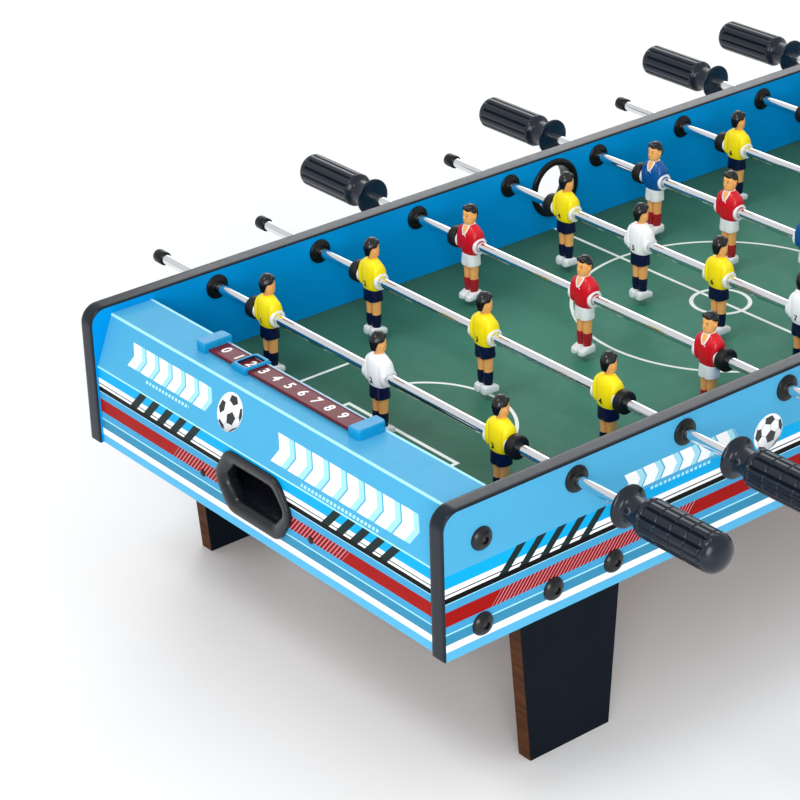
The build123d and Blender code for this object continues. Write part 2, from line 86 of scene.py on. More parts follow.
class Paint:
    """One material, whose colour is built up from masks over object coordinates in millimetres."""

    def __init__(self, name, roughness=0.4, metallic=0.0, coat=0.0, specular=0.5):
        self.material = bpy.data.materials.new(name)
        self.material.use_nodes = True
        self.tree = self.material.node_tree
        self.shader = self.tree.nodes["Principled BSDF"]
        self.shader.inputs["Roughness"].default_value = roughness
        self.shader.inputs["Metallic"].default_value = metallic
        self.shader.inputs["Coat Weight"].default_value = coat
        self.shader.inputs["Coat Roughness"].default_value = 0.1
        self.shader.inputs["Specular IOR Level"].default_value = specular
        self.place = self.tree.nodes.new("ShaderNodeTexCoord").outputs["Object"]
        self.colour = None

    def feed(self, socket, value):
        if isinstance(value, bpy.types.NodeSocket):
            self.tree.links.new(value, socket)
        else:
            socket.default_value = value

    def math(self, operation, *values):
        node = self.tree.nodes.new("ShaderNodeMath")
        node.operation = operation
        for socket, value in zip(node.inputs, values):
            self.feed(socket, value)
        return node.outputs[0]

    def below(self, value, limit):
        return self.math("LESS_THAN", value, limit)

    def above(self, value, limit):
        return self.math("GREATER_THAN", value, limit)

    def minus(self, value, other):
        return self.math("SUBTRACT", value, other)

    def times(self, value, other):
        return self.math("MULTIPLY", value, other)

    def size(self, value):
        return self.math("ABSOLUTE", value)

    def repeat(self, value, step):
        return self.math("FLOORED_MODULO", value, step)

    def split(self, vector, scale=1.0):
        node = self.tree.nodes.new("ShaderNodeSeparateXYZ")
        self.tree.links.new(vector, node.inputs[0])
        parts = list(node.outputs)
        return [self.times(part, scale) for part in parts] if scale != 1.0 else parts

    def millimetres(self):
        return self.split(self.place, 1 / MM)

    def between(self, value, low, high):
        """1 where low < value < high, else 0."""
        return self.math("COMPARE", value, (low + high) / 2, (high - low) / 2)

    def both(self, *masks):
        result = masks[0]
        for mask in masks[1:]:
            result = self.times(result, mask)
        return result

    def either(self, *masks):
        result = masks[0]
        for mask in masks[1:]:
            result = self.math("MAXIMUM", result, mask)
        return result

    def lean(self, along, height, slope, base):
        """A coordinate that leans over by slope as height rises above base."""
        rise = self.minus(height, base)
        return self.math("MULTIPLY_ADD", rise, -slope, along)

    def mix(self, mask, low, high):
        node = self.tree.nodes.new("ShaderNodeMix")
        node.data_type = "RGBA"
        self.feed(node.inputs["Factor"], mask)
        self.feed(node.inputs["A"], low)
        self.feed(node.inputs["B"], high)
        return node.outputs["Result"]

    def over(self, mask, colour):
        self.colour = self.mix(mask, self.colour, colour)

    def true_normal(self):
        node = self.tree.nodes.new("ShaderNodeNewGeometry")
        return self.split(node.outputs["True Normal"])

    def noise(self, scale, detail=2.0, stretch=(1, 1, 1), low=0.0, high=1.0):
        """Noise over object coordinates, mapped from its usual range to low..high."""
        mapping = self.tree.nodes.new("ShaderNodeMapping")
        mapping.inputs["Scale"].default_value = stretch
        self.tree.links.new(self.place, mapping.inputs["Vector"])
        node = self.tree.nodes.new("ShaderNodeTexNoise")
        node.inputs["Scale"].default_value = scale
        node.inputs["Detail"].default_value = detail
        self.tree.links.new(mapping.outputs[0], node.inputs["Vector"])
        spread = self.tree.nodes.new("ShaderNodeMapRange")
        spread.inputs["From Min"].default_value = 0.3
        spread.inputs["From Max"].default_value = 0.7
        spread.inputs["To Min"].default_value = low
        spread.inputs["To Max"].default_value = high
        self.tree.links.new(node.outputs["Fac"], spread.inputs["Value"])
        return spread.outputs[0]

    def shade(self, amount, scale, detail=2.0, stretch=(1, 1, 1)):
        """Uneven tone: the colour goes darker by up to amount."""
        mask = self.noise(scale, detail, stretch, 0.0, amount)
        self.colour = self.mix(mask, self.colour, (0.0, 0.0, 0.0, 1.0))

    def roughen(self, low, high, scale, detail=3.0, stretch=(1, 1, 1)):
        self.tree.links.new(self.noise(scale, detail, stretch, low, high), self.shader.inputs["Roughness"])

    def bump(self, height_mm, scale, detail=3.0, stretch=(1, 1, 1)):
        node = self.tree.nodes.new("ShaderNodeBump")
        node.inputs["Distance"].default_value = height_mm * MM
        node.inputs["Strength"].default_value = 1.0
        self.tree.links.new(self.noise(scale, detail, stretch), node.inputs["Height"])
        self.tree.links.new(node.outputs[0], self.shader.inputs["Normal"])

    def done(self):
        self.feed(self.shader.inputs["Base Color"], self.colour)
        return self.material


def plain(name, colour, tone, tone_scale, rough, bump=None, **shader):
    """A material of one display colour with uneven tone, roughness and a fine surface."""
    paint = Paint(name, **shader)
    paint.colour = srgb(*colour)
    paint.shade(tone, tone_scale, 3.0)
    paint.roughen(*rough, 180.0)
    if bump:
        paint.bump(*bump)
    return paint.done()


SKY = srgb(78, 170, 213)
BRIGHT_BLUE = srgb(0, 170, 232)
WHITE = srgb(250, 252, 252)
INK = srgb(5, 6, 8)
MID_BLUE = srgb(66, 158, 206)
TEAL_BLUE = srgb(56, 141, 178)
PALE_LINE = srgb(170, 232, 250)
LOW_BLUE = srgb(90, 182, 226)
RED = srgb(158, 12, 8)
DARK_RED = srgb(96, 18, 24)
PINK = srgb(226, 130, 138)
BAR = srgb(24, 42, 42)
INNER_BLUE_TONE = (0, 150, 222)
INNER_BLUE = srgb(*INNER_BLUE_TONE)
FIBREBOARD_TONE = (120, 84, 52)
FIBREBOARD = srgb(*FIBREBOARD_TONE)


def stripes(paint, along, height, slant_bars, hatches):
    """The printed bands of the cabinet's lower half, from the top band down.

    Slanted bars are (first edge, pitch, width, count); hatches are (low, high) along the board.
    """
    bands = [(55.5, 65.0, BRIGHT_BLUE), (48.4, 55.5, WHITE), (50.5, 51.4, INK), (44.3, 48.4, INK),
             (37.9, 44.3, MID_BLUE), (43.7, 44.3, PALE_LINE), (26.9, 37.9, RED), (20.9, 26.9, MID_BLUE),
             (12.7, 20.9, TEAL_BLUE), (20.2, 21.3, PALE_LINE), (7.2, 12.7, WHITE), (-1.0, 7.2, LOW_BLUE)]
    for low, high, colour in bands:
        paint.over(paint.between(height, low, high), colour)
    ruled = paint.lean(along, height, 0.85, 26.9)
    zone = paint.both(paint.between(height, 26.9, 37.9),
                      paint.either(*[paint.between(ruled, low, high) for low, high in hatches]))
    step = paint.repeat(ruled, 3.7)
    paint.over(paint.both(zone, paint.below(step, 2.5)), DARK_RED)
    paint.over(paint.both(zone, paint.below(step, 1.1)), PINK)
    leaning = paint.lean(along, height, 0.95, 48.5)
    bar_band = paint.between(height, 48.4, 65.3)
    for start, pitch, width, count in slant_bars:
        local = paint.minus(leaning, start)
        zone = paint.between(local, 0.0, pitch * count)
        step = paint.repeat(local, pitch)
        paint.over(paint.both(bar_band, zone, paint.below(step, width)), BAR)


def arrows(paint, along, height, start, end, low, high, pitch):
    """A row of white arrowheads with a pale echo, and a line of short dashes below them."""
    middle = (low + high) / 2
    bend = paint.size(paint.minus(height, middle))
    local = paint.math("MULTIPLY_ADD", bend, 0.55, paint.minus(along, start))
    zone = paint.both(paint.between(height, low, high), paint.between(local, 0.0, end - start))
    step = paint.repeat(local, pitch)
    paint.over(paint.both(zone, paint.between(step, 0.62 * pitch, 0.92 * pitch)), srgb(163, 222, 238))
    paint.over(paint.both(zone, paint.below(step, 0.62 * pitch)), WHITE)
    dash_zone = paint.both(paint.between(height, low - 5.0, low - 2.8),
                           paint.between(along, start + 0.2 * (end - start), start + 0.75 * (end - start)))
    dash = paint.below(paint.repeat(along, 4.2), 2.6)
    paint.over(paint.both(dash_zone, dash), srgb(178, 232, 246))


def board_finish(paint):
    paint.shade(0.04, 9.0, 2.0)
    paint.roughen(0.28, 0.4, 120.0)
    paint.bump(0.03, 900.0)
    return paint.done()


def side_board(name, sign):
    """The printed side panel: stripes outside, plain blue inside, raw board elsewhere."""
    paint = Paint(name, specular=0.07)
    x, y, z = paint.millimetres()
    x = paint.times(x, sign)
    y = paint.times(y, sign)
    height = paint.minus(z, panel_bottom)
    paint.colour = SKY
    stripes(paint, x, height,
            [(-418.5, 18.0, 8.4, 5), (338.0, 18.0, 8.4, 5)], [(-425.0, -244.4), (236.0, 416.0)])
    for start in (-302.0, 198.0):
        arrows(paint, x, height, start, start + 104.0, 67.5, 82.5, 17.3)
    paint.colour = paint.mix(paint.between(y, -inner_y - 0.4, -inner_y + 1.0), paint.colour, INNER_BLUE)
    paint.colour = paint.mix(paint.between(y, -outer_y + 0.4, -inner_y - 0.4), paint.colour, FIBREBOARD)
    return board_finish(paint)


def end_board(name, sign):
    """The folded end panel: stripes below the fold, arrowheads on the slope, pale fold lines."""
    paint = Paint(name, specular=0.07)
    x, y, z = paint.millimetres()
    along = paint.times(y, -sign)
    height = paint.minus(z, panel_bottom)
    depth = paint.times(x, sign)
    paint.colour = SKY
    stripes(paint, along, height, [(-156.8, 17.4, 8.6, 5), (78.9, 16.0, 8.2, 5)], [(-103.0, 100.3)])
    rise = paint.times(paint.minus(height, FOLD_RISE), 1.08)
    arrows(paint, along, rise, -160.0, -58.0, 13.5, 31.5, 17.0)
    arrows(paint, along, rise, 24.0, 180.0, 7.0, 28.0, 19.5)
    paint.over(paint.between(height, FOLD_RISE - 0.4, FOLD_RISE + 0.8), PALE_LINE)
    for low, high in ((-447.2, -446.0), (-411.5, -408.0)):
        paint.over(paint.both(paint.between(depth, low, high), paint.above(height, 100.0)), PALE_LINE)
    normal_x, _, normal_z = paint.true_normal()
    outside = paint.either(paint.below(paint.times(normal_x, sign), -0.3), paint.above(normal_z, 0.5))
    paint.colour = paint.mix(outside, FIBREBOARD, paint.colour)
    return board_finish(paint)


# pitch markings: distances from the table's middle, and rings as (centre x, centre y, radius)
LINE = 2.8
CENTRE_SPOT_RING = (0.0, 0.0, 23.5)
CENTRE_RING = (0.0, -5.0, 123.0)
AREA_RING = (316.0, -6.0, 71.0)
AREA_X, AREA_Y = 290.0, 112.0
GOAL_X, GOAL_Y, GOAL_SHIFT = 333.0, 63.0, 5.0


def pitch_print():
    """Green playing surface, darker towards its ends and sides as painted shade, with the white markings of
    both halves.
    """
    paint = Paint("pitch_print", specular=0.07)
    x, y, z = paint.millimetres()
    along = paint.size(x)
    turned_y = paint.times(y, paint.times(paint.math("SIGN", x), -1.0))
    off_centre = paint.size(paint.math("ADD", turned_y, GOAL_SHIFT))
    across = paint.size(y)
    paint.colour = srgb(64, 129, 108)
    paint.over(paint.noise(3.0, 2.0, (1, 1, 1), 0.0, 0.35), srgb(56, 112, 92))
    # Painted shade: the green goes darker towards both ends and both sides of the pitch, where the walls
    # shade it.
    near_end = paint.times(paint.minus(along, 190.0), 1 / 240)
    near_side = paint.times(paint.minus(across, 70.0), 1 / 200)
    painted_shade = paint.math("MAXIMUM", paint.math("MAXIMUM", near_end, near_side), 0.0)
    paint.over(paint.times(painted_shade, 0.75), srgb(42, 54, 38))

    def ring(centre_x, centre_y, radius, width, across_x, across_y):
        dx = paint.minus(across_x, centre_x)
        dy = paint.minus(across_y, centre_y)
        square = paint.math("MULTIPLY_ADD", dx, dx, paint.times(dy, dy))
        return paint.between(paint.math("SQRT", square), radius - width / 2, radius + width / 2)

    def box(half_y, near_x, line, sideways):
        """Two sides and the front of an area that opens towards the goal."""
        sides = paint.both(paint.between(sideways, half_y - line / 2, half_y + line / 2),
                           paint.above(along, near_x - line / 2))
        front = paint.both(paint.between(along, near_x - line / 2, near_x + line / 2),
                           paint.below(sideways, half_y + line / 2))
        return [sides, front]

    lines = [paint.between(along, -1.0, 1.5), ring(*CENTRE_SPOT_RING, 3.4, x, y),
             ring(*CENTRE_RING, LINE, x, y), *box(AREA_Y, AREA_X, LINE, across),
             *box(GOAL_Y, GOAL_X, 3.2, off_centre),
             paint.both(ring(*AREA_RING, LINE, along, turned_y), paint.below(along, AREA_X))]
    paint.over(paint.either(*lines), srgb(240, 246, 240))
    top = paint.between(z, pitch_top - 0.3, pitch_top + 0.3)
    paint.colour = paint.mix(top, FIBREBOARD, paint.colour)
    paint.roughen(0.38, 0.5, 90.0)
    paint.bump(0.02, 1200.0)
    return paint.done()


def leg_print():
    """Dark foil on the leg's two faces and raw board on its edges."""
    paint = Paint("leg_board", specular=0.05)
    face = paint.above(paint.size(paint.true_normal()[1]), 0.9)
    grain = paint.noise(25.0, 5.0, (1.0, 1.0, 9.0))
    raw = paint.mix(grain, srgb(92, 54, 30), srgb(54, 31, 16))
    foil = paint.mix(paint.noise(6.0, 2.0), srgb(11, 18, 27), srgb(15, 23, 33))
    paint.colour = paint.mix(face, raw, foil)
    paint.roughen(0.35, 0.5, 60.0)
    paint.bump(0.04, 400.0)
    return paint.done()


def chrome_finish():
    paint = Paint("rod_chrome", roughness=0.1, metallic=1.0)
    paint.colour = srgb(232, 234, 236)
    paint.shade(0.05, 40.0, 2.0, (1.0, 0.08, 1.0))
    paint.roughen(0.07, 0.15, 300.0, 3.0, (1.0, 0.05, 1.0))
    return paint.done()


def ball_white():
    """White of the printed ball, shaded towards its rim."""
    paint = Paint("ball_white", specular=0.3)
    x, y, z = paint.millimetres()
    low = paint.minus(paint.times(x, 0.4), paint.times(y, 1.0))
    paint.colour = WHITE
    paint.over(paint.times(paint.math("MAXIMUM", low, 0.0), 0.045), srgb(132, 138, 146))
    paint.roughen(0.28, 0.4, 200.0)
    return paint.done()


PLASTIC = (0.02, 700.0)
M = {
    "side_front": side_board("printed_side_front", 1.0),
    "side_rear": side_board("printed_side_rear", -1.0),
    "end_left": end_board("printed_end_left", 1.0),
    "end_right": end_board("printed_end_right", -1.0),
    "pitch": pitch_print(),
    "goal_wall": plain("goal_wall_blue", INNER_BLUE_TONE, 0.05, 12.0, (0.3, 0.42), coat=0.2),
    "raw_wood": plain("raw_board", FIBREBOARD_TONE, 0.35, 30.0, (0.7, 0.85), bump=(0.08, 350.0)),
    "leg": leg_print(),
    "trim": plain("trim_black", (12, 24, 36), 0.2, 8.0, (0.2, 0.28), specular=0.3),
    "black": plain("moulded_black", (12, 14, 18), 0.2, 60.0, (0.26, 0.4), bump=PLASTIC, specular=0.3),
    "pocket": plain("pocket_black", (15, 18, 26), 0.2, 40.0, (0.22, 0.32), bump=PLASTIC, specular=0.4),
    "handle": plain("handle_black", (13, 24, 38), 0.15, 50.0, (0.2, 0.28), bump=(0.008, 600.0), specular=0.4),
    "rubber": plain("bumper_rubber", (19, 18, 18), 0.2, 60.0, (0.4, 0.55), bump=(0.03, 500.0), specular=0.3),
    "screw": plain("screw_black", (16, 17, 20), 0.25, 90.0, (0.2, 0.34), specular=0.4),
    "steel": plain("screw_steel", (96, 92, 96), 0.3, 200.0, (0.3, 0.45), metallic=1.0),
    "chrome": chrome_finish(),
    "rail": plain("rail_maroon", (106, 30, 42), 0.1, 30.0, (0.2, 0.3), specular=0.15),
    "rail_edge": plain("rail_edge_silver", (132, 172, 200), 0.1, 30.0, (0.2, 0.3), coat=0.3),
    "sky_plastic": plain("counter_blue", (8, 146, 200), 0.08, 40.0, (0.18, 0.3), specular=0.3),
    "digit": plain("digit_white", (248, 248, 244), 0.03, 60.0, (0.3, 0.4)),
    "ball_white": ball_white(),
    "ball_black": plain("ball_black", (18, 19, 22), 0.1, 60.0, (0.3, 0.4), coat=0.2),
    "ball_seam": plain("ball_seam", (176, 180, 186), 0.1, 60.0, (0.3, 0.4)),
    "yellow": plain("shirt_yellow", (255, 232, 14), 0.04, 90.0, (0.22, 0.34), specular=0.35),
    "white": plain("shirt_white", (250, 251, 251), 0.03, 90.0, (0.22, 0.34), specular=0.35),
    "red": plain("shirt_red", (214, 14, 34), 0.08, 90.0, (0.22, 0.34), specular=0.4),
    "blue": plain("shirt_blue", (2, 86, 158), 0.08, 90.0, (0.22, 0.34), specular=0.4),
    "skin": plain("skin", (250, 180, 104), 0.08, 120.0, (0.28, 0.4), specular=0.3),
    "hair": plain("hair_black", (11, 10, 11), 0.2, 90.0, (0.16, 0.26), bump=(0.05, 700.0), specular=0.5),
    "navy": plain("navy_enamel", (10, 18, 58), 0.15, 90.0, (0.24, 0.36), specular=0.3),
    "sock_red": plain("sock_red", (174, 20, 34), 0.12, 90.0, (0.24, 0.36), coat=0.3),
    "enamel": plain("white_enamel", (240, 243, 243), 0.05, 90.0, (0.2, 0.32), coat=0.35),
    "ink": plain("ink_black", (12, 12, 14), 0.1, 90.0, (0.35, 0.45)),
}


# ---------------------------------------------------------------- meshes
class Shape:
    """Vertices, faces and a material number per face, gathered from several closed shells."""

    def __init__(self):
        self.points = []
        self.faces = []
        self.looks = []

    def add(self, points, faces, look=0):
        base = len(self.points)
        self.points.extend(Vector(point) for point in points)
        self.faces.extend(tuple(base + index for index in face) for face in faces)
        self.looks.extend(look if isinstance(look, list) else [look] * len(faces))

    def join(self, other, matrix=None, look=None):
        placed = [matrix @ point for point in other.points] if matrix else other.points
        self.add(placed, other.faces, list(other.looks) if look is None else look)

    def make(self, name, materials, body, replaces=(), slot=None, sharp=38.0, place=None):
        """Turn the shape into an object, in metres, riding on a body."""
        mesh = bpy.data.meshes.new(name)
        mesh.from_pydata([point * MM for point in self.points], [], self.faces)
        for material in materials:
            mesh.materials.append(material)
        mesh.polygons.foreach_set("material_index", self.looks)
        mesh.polygons.foreach_set("use_smooth", [True] * len(self.faces))
        mesh.validate()
        mesh.set_sharp_from_angle(angle=radians(sharp))
        piece = bpy.data.objects.new(name, mesh)
        scene.collection.objects.link(piece)
        if place is not None:
            piece.matrix_world = place
        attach(piece, body)
        if replaces:
            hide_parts(*replaces)
        return piece


def skin_rings(shape, rings, look=0, closed=False, caps=True):
    """Join rings of equal point counts; the ends are capped, or the last ring meets the first."""
    count = len(rings[0])
    points = [point for ring in rings for point in ring]
    faces = []
    spans = len(rings) if closed else len(rings) - 1
    for row in range(spans):
        after = (row + 1) % len(rings)
        for column in range(count):
            side = (column + 1) % count
            here, there = row * count, after * count
            faces.append((here + column, here + side, there + side, there + column))
    looks = look if isinstance(look, list) else [look] * spans
    face_looks = [looks[row] for row in range(spans) for _ in range(count)]
    if caps and not closed:
        faces.append(tuple(range(count))[::-1])
        faces.append(tuple((len(rings) - 1) * count + index for index in range(count)))
        face_looks.extend((looks[0], looks[-1]))
    shape.add(points, faces, face_looks)


def turned(profile, segments=48, closed=False, look=0, swell=None):
    """A shape turned about the Y axis from (radius, y) pairs."""
    shape = Shape()
    rings = []
    for radius, y in profile:
        ring = []
        for index in range(segments):
            angle = tau * index / segments
            reach = radius + (swell(radius, y, angle) if swell else 0.0)
            ring.append((reach * sin(angle), y, reach * cos(angle)))
        rings.append(ring)
    skin_rings(shape, rings, look, closed)
    return shape


def smooth_rows(rows, steps):
    """Catmull-Rom rows of numbers, with steps spans between each pair of given rows."""
    result = []
    for index in range(len(rows) - 1):
        before = rows[max(index - 1, 0)]
        start, end = rows[index], rows[index + 1]
        after = rows[min(index + 2, len(rows) - 1)]
        for step in range(steps):
            t = step / steps
            result.append([0.5 * (2 * b + (c - a) * t + (2 * a - 5 * b + 4 * c - d) * t * t
                                  + (3 * b - a - 3 * c + d) * t ** 3)
                           for a, b, c, d in zip(before, start, end, after)])
    result.append(list(rows[-1]))
    return result


def level_ring(row, count=28, pinch=0.0):
    """A level rounded outline: row is (height, centre x, centre y, half x, half y, squareness)."""
    height, centre_x, centre_y, half_x, half_y, power = row
    ring = []
    for index in range(count):
        angle = tau * index / count
        c, s = cos(angle), sin(angle)
        x = half_x * (abs(c) ** (2 / power)) * (1 if c >= 0 else -1)
        y = half_y * (abs(s) ** (2 / power)) * (1 if s >= 0 else -1)
        groove = 1 - pinch * exp(-(y / 1.5) ** 2)
        ring.append((centre_x + x * groove, centre_y + y, height))
    return ring


def loft(shape, rows, steps, count, look):
    """A rounded solid through the level outlines of rows, eased between them."""
    skin_rings(shape, [level_ring(row, count) for row in smooth_rows(rows, steps)], look)


def block(shape, low, high, look=0):
    corners = [(x, y, z) for x in (low[0], high[0]) for y in (low[1], high[1]) for z in (low[2], high[2])]
    faces = [(0, 1, 3, 2), (4, 6, 7, 5), (0, 4, 5, 1), (2, 3, 7, 6), (0, 2, 6, 4), (1, 5, 7, 3)]
    shape.add(corners, faces, look)


def prism(shape, outline, low, high, look=0):
    """A flat outline in X and Y, thickened from low to high along Z."""
    skin_rings(shape, [[(x, y, low) for x, y in outline], [(x, y, high) for x, y in outline]], look)


def ellipsoid(shape, centre, radii, look=0, rows=8, columns=14):
    rings = []
    for row in range(1, rows):
        polar = pi * row / rows
        rings.append([(centre[0] + radii[0] * sin(polar) * cos(tau * k / columns),
                       centre[1] + radii[1] * sin(polar) * sin(tau * k / columns),
                       centre[2] - radii[2] * cos(polar)) for k in range(columns)])
    skin_rings(shape, rings, look)


# ---------------------------------------------------------------- players
# about the rod's axis, looking along +X
SHIRT, CUFF, SKIN, HAIR, SHORTS, SOCK, SHOE, INK_LOOK, COLLAR = range(9)
CUFF_END = 12.2
CUFF_PROFILE = [(4.1, 9.6), (6.4, 9.6), (6.9, 10.2), (7.0, 11.4), (6.8, 11.9), (6.3, CUFF_END),
                (4.9, CUFF_END), (4.6, 11.7), (4.1, 11.5)]
SHIRT_ROWS = [
    (-8.4, -0.2, 0, 5.9, 8.7, 2.3), (-6.0, -0.2, 0, 6.5, 9.3, 2.4), (-2.0, -0.1, 0, 7.1, 9.8, 2.4),
    (3.0, 0.1, 0, 7.5, 10.2, 2.5), (8.0, 0.1, 0, 7.2, 10.4, 2.5), (11.0, 0.0, 0, 6.6, 10.0, 2.5),
    (13.4, -0.1, 0, 5.7, 8.8, 2.4), (15.4, -0.1, 0, 4.6, 6.6, 2.2), (16.6, 0.0, 0, 3.6, 4.2, 2.0),
]
ARM_ROWS = [
    (-7.4, 0.0, 8.4, 2.6, 1.6, 2.0), (-6.2, 0.0, 8.6, 4.9, 2.8, 2.1), (-3.0, 0.0, 8.7, 6.3, 3.3, 2.2),
    (2.0, 0.0, 8.6, 6.7, 3.5, 2.3), (7.0, 0.0, 8.5, 6.2, 3.5, 2.3), (11.0, 0.0, 8.0, 5.1, 3.1, 2.2),
    (13.2, 0.0, 7.4, 3.6, 2.3, 2.0), (14.2, 0.0, 6.8, 1.8, 1.2, 2.0),
]
HEAD_ROWS = [
    (16.5, 1.6, 0, 2.6, 2.3, 2.0), (17.3, 1.4, 0, 3.9, 3.4, 2.1), (18.9, 1.0, 0, 4.9, 4.4, 2.2),
    (21.3, 0.6, 0, 5.5, 5.0, 2.2), (24.3, 0.4, 0, 5.8, 5.3, 2.1), (27.3, 0.2, 0, 5.7, 5.2, 2.0),
    (30.1, 0.0, 0, 4.7, 4.4, 2.0), (31.7, -0.1, 0, 3.0, 2.8, 2.0), (32.2, -0.1, 0, 1.2, 1.1, 2.0),
]

NECK_ROWS = [(12.0, 0.2, 0, 3.2, 3.4, 2.0), (16.0, 0.3, 0, 3.3, 3.4, 2.0), (19.8, 0.5, 0, 3.3, 3.3, 2.0)]
SHORTS_ROWS = [
    (-6.8, -0.1, 0, 5.4, 7.9, 2.4), (-9.5, -0.1, 0, 5.9, 8.2, 2.5), (-13.5, 0.0, 0, 6.1, 8.2, 2.6),
    (-17.2, 0.1, 0, 6.3, 8.3, 2.7), (-19.0, 0.1, 0, 6.3, 8.2, 2.7),
]
# legs as (height, centre x, half x, half y, squareness); shoes as (x, centre y and z, half y and z)
LEG_Y = 3.35
SOLE_Z = -48.6
BARE_LEG_ROWS = [(-16.0, 0.1, 3.9, 3.5, 2.2), (-22.0, 0.1, 3.9, 3.4, 2.2), (-27.0, 0.2, 3.6, 3.2, 2.2),
                 (-31.5, 0.1, 3.5, 3.1, 2.1)]
SOCK_ROWS = [(-30.4, 0.0, 3.1, 2.8, 2.1), (-30.5, 0.0, 3.85, 3.4, 2.1), (-31.6, 0.0, 3.95, 3.5, 2.1),
             (-35.0, -0.1, 4.0, 3.5, 2.1), (-39.0, -0.1, 3.6, 3.2, 2.1), (-42.5, 0.0, 3.4, 3.0, 2.1)]
SHOE_ROWS = [(-6.2, 3.5, -45.2, 2.3, 2.6), (-5.4, 3.6, -45.0, 3.2, 3.5), (-2.0, 3.7, -44.7, 3.7, 3.9),
             (2.0, 3.75, -44.8, 3.8, 3.7), (5.0, 3.8, -45.5, 3.8, 3.0), (7.4, 3.8, -46.0, 3.4, 2.5),
             (8.6, 3.7, -46.2, 2.2, 1.8)]


def shirt_reach(height, angle):
    """How far the shirt's surface is from its middle at a height, in a level direction."""
    rows = sorted(SHIRT_ROWS)
    for low, high in zip(rows, rows[1:]):
        if height <= high[0]:
            break
    share = (height - low[0]) / (high[0] - low[0])
    half_x = low[3] + (high[3] - low[3]) * share
    half_y = low[4] + (high[4] - low[4]) * share
    return 1 / sqrt((cos(angle) / half_x) ** 2 + (sin(angle) / half_y) ** 2)


def chest_patch(shape, outline_at, low, high, look, lift, rows=9, columns=9):
    """A thin patch over the chest: outline_at gives its two edge angles at a height."""
    outer, inner = [], []
    for row in range(rows):
        height = low + (high - low) * row / (rows - 1)
        start, end = outline_at(row / (rows - 1))
        for column in range(columns):
            angle = start + (end - start) * column / (columns - 1)
            reach = shirt_reach(height, angle) + lift
            outer.append((reach * cos(angle), reach * sin(angle), height))
            inner.append(((reach - 0.6) * cos(angle), (reach - 0.6) * sin(angle), height))
    size = rows * columns
    faces = []
    for row in range(rows - 1):
        for column in range(columns - 1):
            a = row * columns + column
            quad = (a, a + 1, a + columns + 1, a + columns)
            faces.append(quad)
            faces.append(tuple(size + index for index in quad)[::-1])
    border = [column for column in range(columns)]
    border += [row * columns + columns - 1 for row in range(1, rows)]
    border += [(rows - 1) * columns + column for column in range(columns - 2, -1, -1)]
    border += [row * columns for row in range(rows - 2, 0, -1)]
    for here, there in zip(border, border[1:] + border[:1]):
        faces.append((there, here, size + here, size + there))
    shape.add(outer + inner, faces, look)


def ease(value, low, high):
    share = min(max((value - low) / (high - low), 0.0), 1.0)
    return share * share * (3 - 2 * share)


def hair_cap(shape):
    """A close cap of hair: high over the brow and ears, low at the nape, swept up in front."""
    columns, rows = 36, 10
    top, centre = 33.2, (-0.3, 25.6)
    rings, inner_ring = [], []
    for row in range(1, rows + 1):
        ring = []
        for column in range(columns):
            angle = tau * column / columns
            away = abs((angle + pi) % tau - pi) / pi
            hem = 28.9 - 2.4 * ease(away, 0.2, 0.5) - 6.8 * ease(away, 0.66, 0.84)
            height = top - (top - hem) * (row / rows) ** 1.35
            spread = sqrt(max(1 - ((height - centre[1]) / (top - centre[1])) ** 2, 0.0))
            if height < centre[1]:
                spread = 1 - 0.012 * (centre[1] - height) ** 1.4
            lock = 1 + 0.035 * sin(7 * angle + 0.5) * sin(pi * row / rows)
            x = centre[0] + 6.35 * spread * lock * cos(angle)
            y = 5.9 * spread * lock * sin(angle)
            ring.append((x, y, height))
            if row == rows:
                inner_ring.append((centre[0] + (x - centre[0]) * 0.8, y * 0.8, height + 0.3))
        rings.append(ring)
    rings.append(inner_ring)
    skin_rings(shape, rings, HAIR)
    for x, y, z, radii in ((3.5, 1.2, 29.9, (2.6, 3.6, 2.2)), (2.6, -2.4, 29.9, (2.9, 2.6, 2.1)),
                           (0.4, 0.6, 31.2, (3.9, 3.9, 2.2))):
        ellipsoid(shape, (x, y, z), radii, HAIR)


def add_body(shape):
    """Shirt, upper arms and the white cuffs around the rod."""
    loft(shape, SHIRT_ROWS, 3, 32, SHIRT)
    for side in (-1, 1):
        arm = [(z, x, side * y, half_x, half_y, power) for z, x, y, half_x, half_y, power in ARM_ROWS]
        loft(shape, arm, 3, 24, SHIRT)
        cuff = turned(CUFF_PROFILE, 28, closed=True, look=CUFF)
        if side < 0:
            cuff.faces = [face[::-1] for face in cuff.faces]
        shape.join(cuff, Matrix.Diagonal((1, side, 1, 1)))


def add_head(shape):
    """Neck, head, nose, chin, ears, eyes, brows and hair."""
    loft(shape, NECK_ROWS, 2, 20, SKIN)
    loft(shape, HEAD_ROWS, 2, 26, SKIN)
    ellipsoid(shape, (6.2, 0, 22.7), (1.1, 0.95, 1.7), SKIN)
    ellipsoid(shape, (5.2, 0, 19.5), (1.0, 1.9, 0.45), SKIN)
    for side in (-1, 1):
        ellipsoid(shape, (0.0, side * 5.3, 23.2), (1.3, 0.8, 1.9), SKIN)
        ellipsoid(shape, (5.6, side * 2.1, 24.5), (0.45, 0.85, 0.42), INK_LOOK, 6, 10)
        ellipsoid(shape, (5.55, side * 2.2, 26.0), (0.5, 1.25, 0.28), HAIR, 6, 10)
    hair_cap(shape)


def add_shorts(shape):
    rings = []
    for row in smooth_rows(SHORTS_ROWS, 3):
        share = min(max((-10.0 - row[0]) / 9.0, 0.0), 1.0)
        outline = level_ring(row, 36, 0.2 * share)
        rings.append([(x, y, z + 0.9 * share * (abs(y) / 8.2) ** 2) for x, y, z in outline])
    hem = rings[-1]
    rings.append([(x * 0.86, y * 0.88, z + 0.1) for x, y, z in hem])
    rings.append([(x * 0.82, y * 0.84, z + 2.0) for x, y, z in hem])
    skin_rings(shape, rings, SHORTS)


